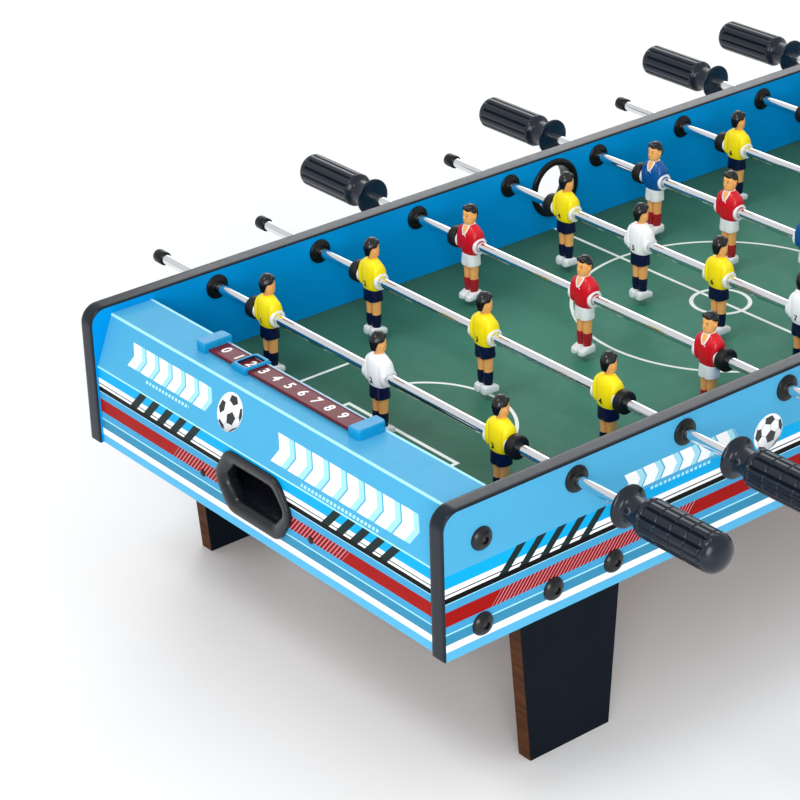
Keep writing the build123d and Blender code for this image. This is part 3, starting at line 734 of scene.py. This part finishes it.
def add_leg(shape, side):
    """Bare leg, sock and shoe on one side."""
    for rows, look in ((BARE_LEG_ROWS, SKIN), (SOCK_ROWS, SOCK)):
        moved = [(z, x, side * LEG_Y, half_x, half_y, power) for z, x, half_x, half_y, power in rows]
        loft(shape, moved, 2, 20, look)
    rings = []
    for x, centre_y, centre_z, half_y, half_z in smooth_rows(SHOE_ROWS, 2):
        outline = level_ring((0, side * centre_y, centre_z, half_y, half_z, 3.2), 20)
        rings.append([(x, across, max(height, SOLE_Z)) for across, height, _ in outline])
    skin_rings(shape, rings, SHOE)


def player_shape(team_front):
    """One player: front team has a round neck and a number, the other a V neck and a chest dash."""
    shape = Shape()
    add_body(shape)
    add_head(shape)
    add_shorts(shape)
    for side in (-1, 1):
        add_leg(shape, side)
    collar = turned([(3.3, 0), (4.3, 0.2), (4.5, 0.8), (4.1, 1.4), (3.2, 1.5)], 28, closed=True,
                    look=SHIRT if team_front else COLLAR)
    shape.join(collar, Matrix.Translation((0.1, 0, 15.2)) @ Matrix.Rotation(pi / 2, 4, "X"))
    if not team_front:
        chest_patch(shape, lambda t: (-0.62 * t - 0.02, 0.62 * t + 0.02), 9.0, 16.2, SKIN, 0.28)
        for side in (-1, 1):
            chest_patch(shape, lambda t: sorted((side * (0.62 * t - 0.02), side * (0.62 * t + 0.17))),
                        8.4, 16.2, COLLAR, 0.42, columns=4)
        chest_patch(shape, lambda t: (0.6 - 0.5 * t, 0.76 - 0.5 * t), 4.8, 8.4, CUFF, 0.2, columns=4)
    return shape


def number_shape(text, size, depth):
    """Flat numerals in the XY plane as a closed mesh shape, centred on the origin."""
    curve = bpy.data.curves.new("numeral", "FONT")
    curve.body = text
    curve.size = size
    curve.extrude = depth / 2
    curve.offset = size * 0.022
    curve.align_x = "CENTER"
    curve.align_y = "CENTER"
    curve.resolution_u = 4
    carrier = bpy.data.objects.new("numeral", curve)
    scene.collection.objects.link(carrier)
    bpy.context.view_layer.update()
    mesh = bpy.data.meshes.new_from_object(carrier.evaluated_get(bpy.context.evaluated_depsgraph_get()))
    shape = Shape()
    shape.add([vertex.co for vertex in mesh.vertices], [tuple(polygon.vertices) for polygon in mesh.polygons])
    bpy.data.objects.remove(carrier)
    return shape


SHIRT_MATERIALS = {"Y": "yellow", "W": "white", "R": "red", "B": "blue"}
SHIRT_SLOTS = {"Y": "player_yellow", "W": "player_white", "R": "player_red", "B": "player_blue"}
FACING_BACK = Matrix(((0, 0, -1, 0), (-1, 0, 0, 0), (0, 1, 0, 0), (0, 0, 0, 1)))


def build_players():
    bases = {True: player_shape(True), False: player_shape(False)}
    for n in RODS:
        in_front = n in FRONT_RODS
        low, high = box_mm(f"rod_{n}_players")
        colours = SHIRTS[n]
        first, last = high.y - CUFF_END, low.y + CUFF_END
        for index, letter in enumerate(colours):
            y = first + (last - first) * index / (len(colours) - 1)
            shape = Shape()
            shape.join(bases[in_front])
            if in_front:
                numeral = number_shape(str(index + n), 6.2, 1.2)
                shape.join(numeral, Matrix.Translation((-6.7, 0.6, -3.4)) @ FACING_BACK, INK_LOOK)
            lower = ("navy", "navy") if in_front else ("enamel", "sock_red")
            looks = [M[SHIRT_MATERIALS[letter]], M["enamel"], M["skin"], M["hair"], M[lower[0]], M[lower[1]],
                     M["enamel"], M["ink"], M["enamel"]]
            place = Matrix.Translation(Vector((rod_axis[n].x, y, rod_axis[n].z)) * MM)
            if not in_front:
                place = place @ HALF_TURN
            shape.make(f"player_{n}_{index + 1}", looks, f"rod_{n}", [f"rod_{n}_players"],
                       SHIRT_SLOTS[letter], 40.0, place)


# ---------------------------------------------------------------- rod fittings
# about the rod's axis, handle towards -Y
BUMPER_LENGTH = 7.5
RIB_COUNT = 12
SCREW_TILT = -68.0
RING_GROOVES = (-284.8, -298.2, -311.6, -325.0, -338.4)


def grip_swell(grooved):
    """Relief of the grip: flat ribs between narrow flutes, with ring grooves on some handles."""
    def swell(radius, y, angle):
        if not -343.5 < y < -281.5:
            return 0.0
        fade = min((y + 343.5) / 4.5, (-281.5 - y) / 2.0, 1.0)
        phase = (RIB_COUNT * angle / tau + 0.5) % 1.0 - 0.5
        depth = 1.5 * max(1 - (phase / 0.17) ** 2, 0.0) + 0.5 * abs(2 * abs(phase) - 1)
        if grooved:
            for groove_y in RING_GROOVES:
                depth = max(depth, 1.2 * exp(-((y - groove_y) / 0.5) ** 2))
        return -depth * fade
    return swell


def handle_shape(grooved):
    profile = [(0.01, -260.0), (14.6, -260.0), (15.3, -260.4), (15.5, -261.2), (15.3, -262.2), (14.3, -263.0),
               (11.6, -264.0), (10.4, -265.4), (10.0, -267.5), (9.8, -276.0), (10.2, -277.8), (12.2, -279.0),
               (13.6, -280.2), (14.2, -281.8)]
    stations = {-283.2, -290.0, -304.9, -318.3, -331.7, -340.8}
    for groove_y in RING_GROOVES:
        stations.update(groove_y + step * 0.45 for step in (-3, -2, -1, 0, 1, 2, 3))
    profile += [(14.2, y) for y in sorted(stations, reverse=True)]
    profile += [(14.2 * cos(t * pi / 24), -340.9 - 9.1 * sin(t * pi / 24)) for t in range(1, 12)]
    profile.append((0.01, -350.0))
    shape = turned(profile, 144, swell=grip_swell(grooved))
    socket = turned([(0.01, 0.0), (2.5, 0.0), (2.6, 0.35), (2.2, 0.8), (1.3, 0.95), (1.2, 0.3), (0.01, 0.25)],
                    24, look=1)
    tilt = Matrix.Rotation(radians(SCREW_TILT), 4, "Y")
    shape.join(socket, tilt @ Matrix.Translation((0, -270.5, 9.5)) @ Matrix.Rotation(pi / 2, 4, "X"), 1)
    return shape


def bumper_shape(low, high):
    profile = [(4.05, low), (7.8, low), (8.5, low + 0.4), (8.8, low + 1.2),
               (8.8, high - 1.2), (8.5, high - 0.4), (7.8, high), (4.05, high)]
    return turned(profile, 40, closed=True)


def cap_shape(start, end):
    profile = [(4.02, start), (5.1, start), (5.5, start + 0.5), (5.5, end - 2.2), (5.1, end - 0.9),
               (4.0, end - 0.2), (2.5, end), (0.01, end), (0.01, end - 2.0), (4.02, end - 2.0)]
    return turned(profile, 36)


def dress(node, key):
    """Give a CAD node, which keeps its own shape, a finish."""
    nodes[node].data.materials.clear()
    nodes[node].data.materials.append(M[key])


def build_rods():
    handles = {True: handle_shape(True), False: handle_shape(False)}
    for n in RODS:
        in_front = n in FRONT_RODS
        middle = rod_axis[n]
        place = Matrix.Translation(middle * MM)
        if not in_front:
            place = place @ HALF_TURN
        handles[in_front].make(f"handle_{n}", [M["handle"], M["steel"]], f"rod_{n}", [f"rod_{n}_handle"],
                               "handle_black", 50.0, place)
        low, high = box_mm(f"rod_{n}_end_cap")
        ends = sorted(abs(y - middle.y) for y in (low.y, high.y))
        cap_shape(*ends).make(f"end_cap_{n}", [M["black"]], f"rod_{n}", [f"rod_{n}_end_cap"], "black_plastic",
                              40.0, place)
        reach = box_mm(f"rod_{n}_bumpers")[1].y - middle.y
        rings = Shape()
        for start, end in ((reach - BUMPER_LENGTH, reach), (-reach, -reach + BUMPER_LENGTH)):
            rings.join(bumper_shape(start, end))
        rings.make(f"bumpers_{n}", [M["rubber"]], f"bumpers_{n}", [f"rod_{n}_bumpers"], "bumper_rubber",
                   40.0, place)
        dress(f"rod_{n}_shaft", "chrome")


# ---------------------------------------------------------------- cabinet pieces
def bearing_shape():
    """One flanged bush through the front panel."""
    outer = [(4.05, -outer_y - 2.6), (4.5, -outer_y - 3.0), (6.4, -outer_y - 3.0), (7.2, -outer_y - 2.2),
             (9.0, -outer_y - 1.9), (9.8, -outer_y - 1.3), (10.0, -outer_y - 0.6), (9.9, -outer_y)]
    inner = [(radius, -inner_y - (y + outer_y)) for radius, y in reversed(outer)]
    return turned(outer + [(6.5, -outer_y), (6.5, -inner_y)] + inner, 40, closed=True)


def ring_shape():
    """The two halves of one serve ring through the front panel."""
    shape = Shape()
    for face, way in ((-outer_y, -1), (-inner_y, 1)):
        joint = -middle_y + way * 0.05
        lip = [(20.0, 1.0), (20.7, 2.2), (21.6, 2.5), (24.4, 2.3), (25.6, 1.6), (26.0, 0.7), (25.9, 0.0),
               (22.5, 0.0)]
        profile = [(20.0, joint), *[(radius, face + way * out) for radius, out in lip], (22.5, joint)]
        half = turned(profile, 72, closed=True)
        if way > 0:
            half.faces = [face_points[::-1] for face_points in half.faces]
        shape.join(half)
    return shape


def screw_shape():
    """A black button-head screw: a low dome with a hexagonal socket, head towards -Y."""
    dome = [(8.8, 0.0), (8.75, -0.5), (8.2, -1.5), (7.2, -2.6), (5.9, -3.5), (4.4, -4.15), (3.1, -4.45)]
    shape = turned(dome + [(2.8, -4.3)], 40)
    shape.faces.pop()
    shape.looks.pop()
    rim = range(len(shape.points) - 40, len(shape.points))
    floor = len(shape.points)
    shape.points.extend(Vector((shape.points[i].x * 0.85, -2.6, shape.points[i].z * 0.85)) for i in rim)
    for k in range(40):
        after = (k + 1) % 40
        shape.faces.append((rim[k], rim[after], floor + after, floor + k))
        shape.looks.append(0)
    shape.faces.append(tuple(range(floor, floor + 40)))
    shape.looks.append(1)
    shape.join(turned([(2.5, -1.0), (2.5, 23.0)], 16))
    return shape


def trim_shape():
    """The rounded edge band over the front panel's top and ends, with its tongue."""
    radius, thickness, half = 14.0, 1.5, (outer_y - inner_y) / 2
    length, height = trim_high.x, trim_high.z - panel_bottom
    edge = [(half / 2, 0.0), (half - 1.3, 0.05), (half - 0.45, 0.25), (half, 0.75), (half, thickness)]
    section = [(-y, inset) for y, inset in reversed(edge)] + [(0.0, 0.0)] + edge
    section += [(0.8, thickness), (0.8, thickness + 6.0), (-0.8, thickness + 6.0), (-0.8, thickness)]
    path = [((-length, 0.0), (1, 0)), ((-length, (height - radius) / 2), (1, 0))]
    for step in range(13):
        angle = pi - pi / 2 * step / 12
        path.append(((-length + radius + radius * cos(angle), height - radius + radius * sin(angle)),
                     (-cos(angle), -sin(angle))))
    path += [((-x, z), (-inward_x, inward_z)) for (x, z), (inward_x, inward_z) in reversed(path)]
    rings = [[(x + inward_x * inset, -middle_y + y, panel_bottom + z + inward_z * inset)
              for y, inset in section] for (x, z), (inward_x, inward_z) in path]
    shape = Shape()
    skin_rings(shape, rings)
    shape.faces = [face[::-1] for face in shape.faces]
    return shape


def both_ends(shape):
    """The shape and its copy turned half a turn about Z."""
    pair = Shape()
    pair.join(shape)
    pair.join(shape, HALF_TURN)
    return pair


def six_sided(shrink, count=6):
    """The pocket's outline with round corners, in Y and Z, drawn in by a distance."""
    half_width = 46.5 - shrink
    narrow = half_width - 16.0 + shrink / 4
    half_height = 24.8 - shrink
    corners = [(-narrow, half_height), (narrow, half_height), (half_width, 0),
               (narrow, -half_height), (-narrow, -half_height), (-half_width, 0)]
    radius = 13.0 - shrink / 2
    outline = []
    for index, corner in enumerate(corners):
        here = Vector(corner)
        before = (Vector(corners[index - 1]) - here).normalized()
        after = (Vector(corners[(index + 1) % 6]) - here).normalized()
        half_angle = before.angle(after) / 2
        centre = here + (before + after).normalized() * radius / sin(half_angle)
        start = here + before * radius * cos(half_angle) / sin(half_angle) - centre
        swing = -(pi - 2 * half_angle)
        for step in range(count + 1):
            turn = Matrix.Rotation(swing * step / count, 2)
            outline.append(centre + turn @ start)
    return outline


def pocket_shape():
    """Bevelled frame, throat and tray of the left ball pocket."""
    centre_z = panel_bottom + 37.3
    face = end_face_x
    stations = [(0.0, 0.0), (0.0, -2.2), (0.5, -3.1), (1.6, -3.5), (4.2, -3.5), (6.4, -3.1), (8.8, -1.9),
                (10.2, -0.2), (10.8, 2.0), (10.8, 8.1), (8.8, 8.1), (8.8, 0.0)]
    rings = [[(face + depth, point.x, centre_z + point.y) for point in six_sided(shrink)]
             for shrink, depth in stations]
    shape = Shape()
    skin_rings(shape, rings, closed=True)
    shape.faces = [points[::-1] for points in shape.faces]
    front, back, top = face + 6.1, -415.3, panel_bottom + 59.0
    sill, rear_sill = centre_z - 14.0, pitch_top - 0.5
    half = 60.0
    heights = {front: sill, back: rear_sill}
    for way in (-1, 1):
        wall = [(front, way * half), (back, way * half), (back, way * (half - 2)), (front, way * (half - 2))]
        wall = wall[::-1] if way > 0 else wall
        skin_rings(shape, [[(x, y, heights[x] - 2) for x, y in wall], [(x, y, top) for x, y in wall]])
    floor = [(front, -half + 2), (back, -half + 2), (back, half - 2), (front, half - 2)]
    skin_rings(shape, [[(x, y, heights[x] - 2) for x, y in floor], [(x, y, heights[x]) for x, y in floor]])
    hole = [(point.x, centre_z + point.y) for point in six_sided(10.8)]
    plate_with_hole(shape, (front, front + 2.0), (-half + 2, half - 2), (sill, top), hole)
    return shape


def plate_with_hole(shape, x_range, y_range, z_range, hole):
    """A flat plate across X with a rounded hole: each hole point is joined to the outline."""
    centre_y, centre_z = sum(y_range) / 2, sum(z for _, z in hole) / len(hole)
    edge = []
    for y, z in hole:
        dy, dz = y - centre_y, z - centre_z
        room_z = z_range[1] - centre_z if dz > 0 else centre_z - z_range[0]
        reach = min((y_range[1] - centre_y) / abs(dy) if dy else 1e9, room_z / abs(dz) if dz else 1e9)
        edge.append((centre_y + dy * reach, centre_z + dz * reach))
    spots = [(x_range[0], hole), (x_range[0], edge), (x_range[1], edge), (x_range[1], hole)]
    skin_rings(shape, [[(x, y, z) for y, z in outline] for x, outline in spots], closed=True)


RAIL_START, RAIL_END = -76.0, 94.0
RAIL_BLOCK = 12.0
DIGIT_ZERO_Y, DIGIT_PITCH = 84.4, 15.4


def rail_shape():
    """The digit strip of the left counter with raised edge beads."""
    low, high = box_mm("score_rail_left")
    centre = (low.x + high.x) / 2
    half = [(7.0, 0.0), (7.0, 1.3), (9.0, 1.3), (9.0, 3.0), (8.2, 3.2), (7.6, 2.7)]
    section = [(-7.0, 0.0), *half, *[(-x, z) for x, z in reversed(half[1:])]]
    shape = Shape()
    skin_rings(shape, [[(centre + x, y, flat_top + z) for x, z in section] for y in (RAIL_END, RAIL_START)])
    block(shape, (centre + 7.9, RAIL_START, flat_top + 2.6), (centre + 9.2, RAIL_END, flat_top + 3.35), 1)
    return shape, centre


def end_block_shape(centre, y_low, y_high, outer_side):
    """A moulded end block of the score rail, rounded on its outer side."""
    shape = Shape()
    outline = []
    for corner_x, corner_y, radius in ((centre - 12.5, y_low, 3.4), (centre + 12.5, y_low, 3.4),
                                       (centre + 12.5, y_high, 3.4), (centre - 12.5, y_high, 3.4)):
        inward_x = 1 if corner_x < centre else -1
        inward_y = 1 if corner_y == y_low else -1
        if (corner_y == y_low) != (outer_side < 0):
            radius = 0.8
        start = {(1, 1): pi, (-1, 1): 1.5 * pi, (-1, -1): 0.0, (1, -1): pi / 2}[(inward_x, inward_y)]
        for step in range(6):
            angle = start + pi / 2 * step / 5
            outline.append((corner_x + inward_x * radius + radius * cos(angle),
                            corner_y + inward_y * radius + radius * sin(angle)))
    middle = (y_low + y_high) / 2
    levels = [(0.0, 1.0), (5.6, 1.0), (6.8, 0.985), (7.6, 0.95), (8.0, 0.88)]
    skin_rings(shape, [[(centre + (x - centre) * (1 - (1 - share) * 0.45),
                         middle + (y - middle) * share, flat_top + height) for x, y in outline]
                       for height, share in levels])
    return shape


def slider_shape():
    """The windowed saddle of the left counter, as four rounded walls around its window."""
    low, high = box_mm("score_slider_left")
    centre_x, centre_y = (low.x + high.x) / 2, (low.y + high.y) / 2
    shape = Shape()
    rings = []
    for half_x, half_y, height in ((11.5, 8.5, 3.4), (11.5, 8.5, 4.6), (11.3, 8.3, 5.1), (10.8, 7.8, 5.4),
                                   (9.0, 6.9, 5.4), (8.5, 6.4, 5.1), (8.3, 6.2, 4.7), (8.3, 6.2, 3.4)):
        ring = level_ring((height, 0, 0, half_x, half_y, 9.0), 40)
        rings.append([(centre_x + x, centre_y + y, flat_top + z) for x, y, z in ring])
    skin_rings(shape, rings, [0, 0, 0, 0, 0, 1, 1, 1], closed=True)
    for side in (-1, 1):
        x_range = sorted((side * 11.5, side * 9.3))
        block(shape, (centre_x + x_range[0], centre_y - 8.5, flat_top + 0.3),
              (centre_x + x_range[1], centre_y + 8.5, flat_top + 4.0))
    return shape


def digits_shape(centre_x):
    """White numerals 0 to 9 lying on the left strip, tops towards the pitch."""
    shape = Shape()
    for value in range(10):
        numeral = number_shape(str(value), 12.0, 0.2)
        spot = Matrix.Translation((centre_x, DIGIT_ZERO_Y - DIGIT_PITCH * value, flat_top + 2.78))
        shape.join(numeral, spot @ Matrix.Rotation(-pi / 2, 4, "Z"))
    return shape


def small_screw_shape():
    """A round-headed cross screw beside the left pocket, head towards -X."""
    dome = [(3.0, 0.0), (2.9, -0.5), (2.2, -1.0), (1.1, -1.2), (0.01, -1.2)]
    shape = turned(dome, 24)
    # The cross is two thin dark matte bars lying on the dome: painted shade in place of a recessed cross.
    for long_side, short_side in ((1.6, 0.3), (0.3, 1.6)):
        block(shape, (-long_side, -1.26, -short_side), (long_side, -1.1, short_side), 1)
    return shape


BALL_RADIUS = 14.3


def ball_print():
    """A flat printed football in the XY plane, radius 1, as thin layers."""
    golden = (1 + sqrt(5)) / 2
    points = [Vector(p).normalized() for a in (-1, 1) for b in (-golden, golden)
              for p in ((0, a, b), (a, b, 0), (b, 0, a))]
    tilt = (Matrix.Rotation(0.32, 3, "X") @ Matrix.Rotation(0.2, 3, "Y")
            @ Matrix.Rotation(acos(points[0].z), 3, "X"))
    points = [tilt @ point for point in points]
    shape = Shape()
    prism(shape, [(cos(tau * k / 64), sin(tau * k / 64)) for k in range(64)], 0.0, 0.008, 0)

    def flat(point):
        if point.z < 0:
            point = Vector((point.x, point.y, 0)).normalized()
        return (point.x * 0.985, point.y * 0.985)

    for point in points:
        near = sorted((q for q in points if q is not point), key=lambda q: (q - point).length)[:5]
        corners = [(2 * point + q).normalized() for q in near]
        if sum(corner.z > 0 for corner in corners) >= 3:
            across = near[0].cross(point).normalized()
            along = across.cross(point).normalized()
            corners.sort(key=lambda c: atan2((c - point).dot(across), (c - point).dot(along)))
            outline = [flat((point.normalized() * -0.12 + corner * 1.12).normalized()) for corner in corners]
            turn = sum(a[0] * b[1] - a[1] * b[0] for a, b in zip(outline, outline[1:] + outline[:1]))
            prism(shape, outline if turn > 0 else outline[::-1], 0.0, 0.014, 1)
        for q in near:
            start, end = (2 * point + q).normalized(), (point + 2 * q).normalized()
            if start.z > 0.05 and end.z > 0.05 and (point - q).x + (point - q).y * 0.01 > 0:
                a, b = Vector(flat(start)), Vector(flat(end))
                side = Vector((a.y - b.y, b.x - a.x)).normalized() * 0.014
                strip = [tuple(corner) for corner in (a - side, b - side, b + side, a + side)]
                prism(shape, strip, 0.0, 0.011, 2)
    return shape


def build_cabinet():
    for node, key in (("side_panel_front", "side_front"), ("side_panel_rear", "side_rear"),
                      ("end_panel_left", "end_left"), ("end_panel_right", "end_right"),
                      ("pitch_board", "pitch"), ("goal_walls", "goal_wall"), ("corner_blocks", "raw_wood"),
                      ("legs_left", "leg"), ("legs_right", "leg")):
        dress(node, key)
    both_ends(trim_shape()).make("edge_bands", [M["trim"]], "cabinet", ["edge_trims"], "black_trim", 50.0)

    bushes = Shape()
    for n in RODS:
        place = Matrix.Translation((rod_axis[n].x, 0, rod_axis[n].z))
        bushes.join(bearing_shape(), place)
        bushes.join(bearing_shape(), place @ HALF_TURN)
    bushes.make("rod_bushes", [M["black"]], "cabinet", ["rod_bearings"], "black_plastic", 50.0)

    ring_place = Matrix.Translation((0, 0, (box_mm("serve_rings")[0].z + box_mm("serve_rings")[1].z) / 2))
    rings = Shape()
    rings.join(ring_shape(), ring_place)
    both_ends(rings).make("serve_collars", [M["black"]], "cabinet", ["serve_rings"], "black_plastic", 50.0)

    screws = Shape()
    for end in (-1, 1):
        for x, rise in ((433.0, 17.5), (433.0, 82.5), (370.5, 19.3), (315.5, 19.3)):
            screws.join(screw_shape(), Matrix.Translation((end * x, -outer_y, panel_bottom + rise)))
    both_ends(screws).make("button_screws", [M["screw"], M["steel"]], "cabinet", ["panel_screws"],
                           "black_screw", 35.0)

    small = Shape()
    for y in (-65.0, 65.0):
        small.join(small_screw_shape(), Matrix.Translation((end_face_x, y, panel_bottom + 28.0))
                   @ Matrix.Rotation(-pi / 2, 4, "Z"))
    both_ends(small).make("pocket_fixings", [M["screw"], M["ink"]], "cabinet", ["pocket_screws"],
                          "black_screw", 40.0)

    strip, centre_x = rail_shape()
    numerals = digits_shape(centre_x)
    blocks = Shape()
    blocks.join(end_block_shape(centre_x, RAIL_END, RAIL_END + RAIL_BLOCK, 1))
    blocks.join(end_block_shape(centre_x, RAIL_START - RAIL_BLOCK, RAIL_START, -1))
    for side, turn in (("left", None), ("right", HALF_TURN)):
        pocket = Shape()
        pocket.join(pocket_shape(), turn)
        pocket.make(f"pocket_{side}", [M["pocket"]], "cabinet", [f"ball_pocket_{side}"],
                    "black_plastic", 35.0)
        for name, source, keys, slot in (("strip", strip, ("rail", "rail_edge"), "rail_plastic"),
                                         ("digits", numerals, ("digit",), "print_white"),
                                         ("rail_ends", blocks, ("sky_plastic",), "slider_plastic")):
            placed = Shape()
            placed.join(source, turn)
            placed.make(f"score_{name}_{side}", [M[key] for key in keys], "cabinet",
                        [f"score_rail_{side}"] if name != "digits" else (), slot, 35.0)
        slider = Shape()
        slider.join(slider_shape(), turn)
        slider.make(f"counter_slider_{side}", [M["sky_plastic"], M["navy"]], f"counter_{side}",
                    [f"score_slider_{side}"], "slider_plastic", 40.0)


def build_ball_prints():
    """The printed footballs: two on each side panel and one on each end's slope."""
    looks = [M["ball_white"], M["ball_black"], M["ball_seam"]]
    upright = Matrix.Rotation(pi / 2, 4, "X")
    facing_left = Matrix.Rotation(-pi / 2, 4, "Z") @ upright
    places = {}
    for key, x in (("a", -167.0), ("b", 167.0)):
        places[f"front_{key}"] = Matrix.Translation((x, -outer_y - 0.01, panel_bottom + 66.6)) @ upright
    share = 22.7 / sqrt(SLOPE_RUN ** 2 + SLOPE_RISE ** 2)
    spot = Vector((-FOLD_X + SLOPE_RUN * share, 37.5, panel_bottom + FOLD_RISE + SLOPE_RISE * share))
    lean = Matrix.Rotation(atan2(SLOPE_RUN, SLOPE_RISE), 4, "Y")
    places["left"] = Matrix.Translation(spot) @ lean @ facing_left @ Matrix.Translation((0, 0, 0.01))
    for name, place in list(places.items()):
        places[f"{name}_turned"] = HALF_TURN @ place
    for name, place in places.items():
        shape = Shape()
        shape.join(ball_print(), Matrix.Diagonal((BALL_RADIUS, BALL_RADIUS, BALL_RADIUS, 1)))
        world = place.copy()
        world.translation = place.translation * MM
        shape.make(f"ball_print_{name}", looks, "cabinet", (), "print_white", 40.0, world)


build_players()
build_rods()
build_cabinet()
build_ball_prints()


# ---------------------------------------------------------------- floor, light and camera
# lights as (name, place, size, power), in metres and watts, all aimed at the table's middle
LIGHTS = [("key", (-1.3, 0.1, 1.9), 0.6, 9.0), ("fill", (-1.9, -2.1, 1.1), 1.6, 37.0),
          ("back", (1.5, 1.9, 1.4), 1.6, 12.0)]
WORLD_TINT = (0.97, 0.985, 1.0, 1.0)
WORLD_STRENGTH = 0.8
FLOOR_REACH = 6.0
CAMERA_PLACE = (-1.38547, -1.35273, 1.06759)
CAMERA_YAW, CAMERA_PITCH, CAMERA_ROLL = radians(-37.97), radians(-27.07), radians(-1.81)
CAMERA_LENS = 118.67


def build_stage():
    floor_paint = Paint("floor_pale", roughness=0.6)
    floor_paint.colour = (0.96, 0.96, 0.96, 1.0)
    floor_paint.shade(0.02, 2.0)
    mesh = bpy.data.meshes.new("floor")
    corners = [(x * FLOOR_REACH, y * FLOOR_REACH, 0) for x, y in ((-1, -1), (1, -1), (1, 1), (-1, 1))]
    mesh.from_pydata(corners, [], [(0, 1, 2, 3)])
    mesh.materials.append(floor_paint.done())
    floor = bpy.data.objects.new("floor", mesh)
    scene.collection.objects.link(floor)

    world = bpy.data.worlds.new("studio")
    world.use_nodes = True
    background = world.node_tree.nodes["Background"]
    background.inputs["Color"].default_value = WORLD_TINT
    background.inputs["Strength"].default_value = WORLD_STRENGTH
    scene.world = world
    for name, spot, size, power in LIGHTS:
        lamp = bpy.data.lights.new(name, "AREA")
        lamp.shape = "DISK"
        lamp.size = size
        lamp.energy = power
        carrier = bpy.data.objects.new(name, lamp)
        carrier.location = spot
        carrier.rotation_euler = (Vector((0, 0, 0.15)) - Vector(spot)).to_track_quat("-Z", "Y").to_euler()
        scene.collection.objects.link(carrier)


def build_camera():
    level = cos(CAMERA_PITCH)
    forward = Vector((-sin(CAMERA_YAW) * level, cos(CAMERA_YAW) * level, sin(CAMERA_PITCH)))
    right = Vector((cos(CAMERA_YAW), sin(CAMERA_YAW), 0))
    up = right.cross(forward)
    rolled_right = right * cos(CAMERA_ROLL) + up * sin(CAMERA_ROLL)
    rolled_up = up * cos(CAMERA_ROLL) - right * sin(CAMERA_ROLL)
    data = bpy.data.cameras.new("camera")
    data.sensor_width = 36.0
    data.lens = CAMERA_LENS
    camera = bpy.data.objects.new("camera", data)
    axes = Matrix((rolled_right, rolled_up, -forward)).transposed().to_4x4()
    camera.matrix_world = Matrix.Translation(CAMERA_PLACE) @ axes
    scene.collection.objects.link(camera)
    scene.camera = camera


build_stage()
build_camera()
scene.view_settings.view_transform = "Standard"

bpy.context.view_layer.update()
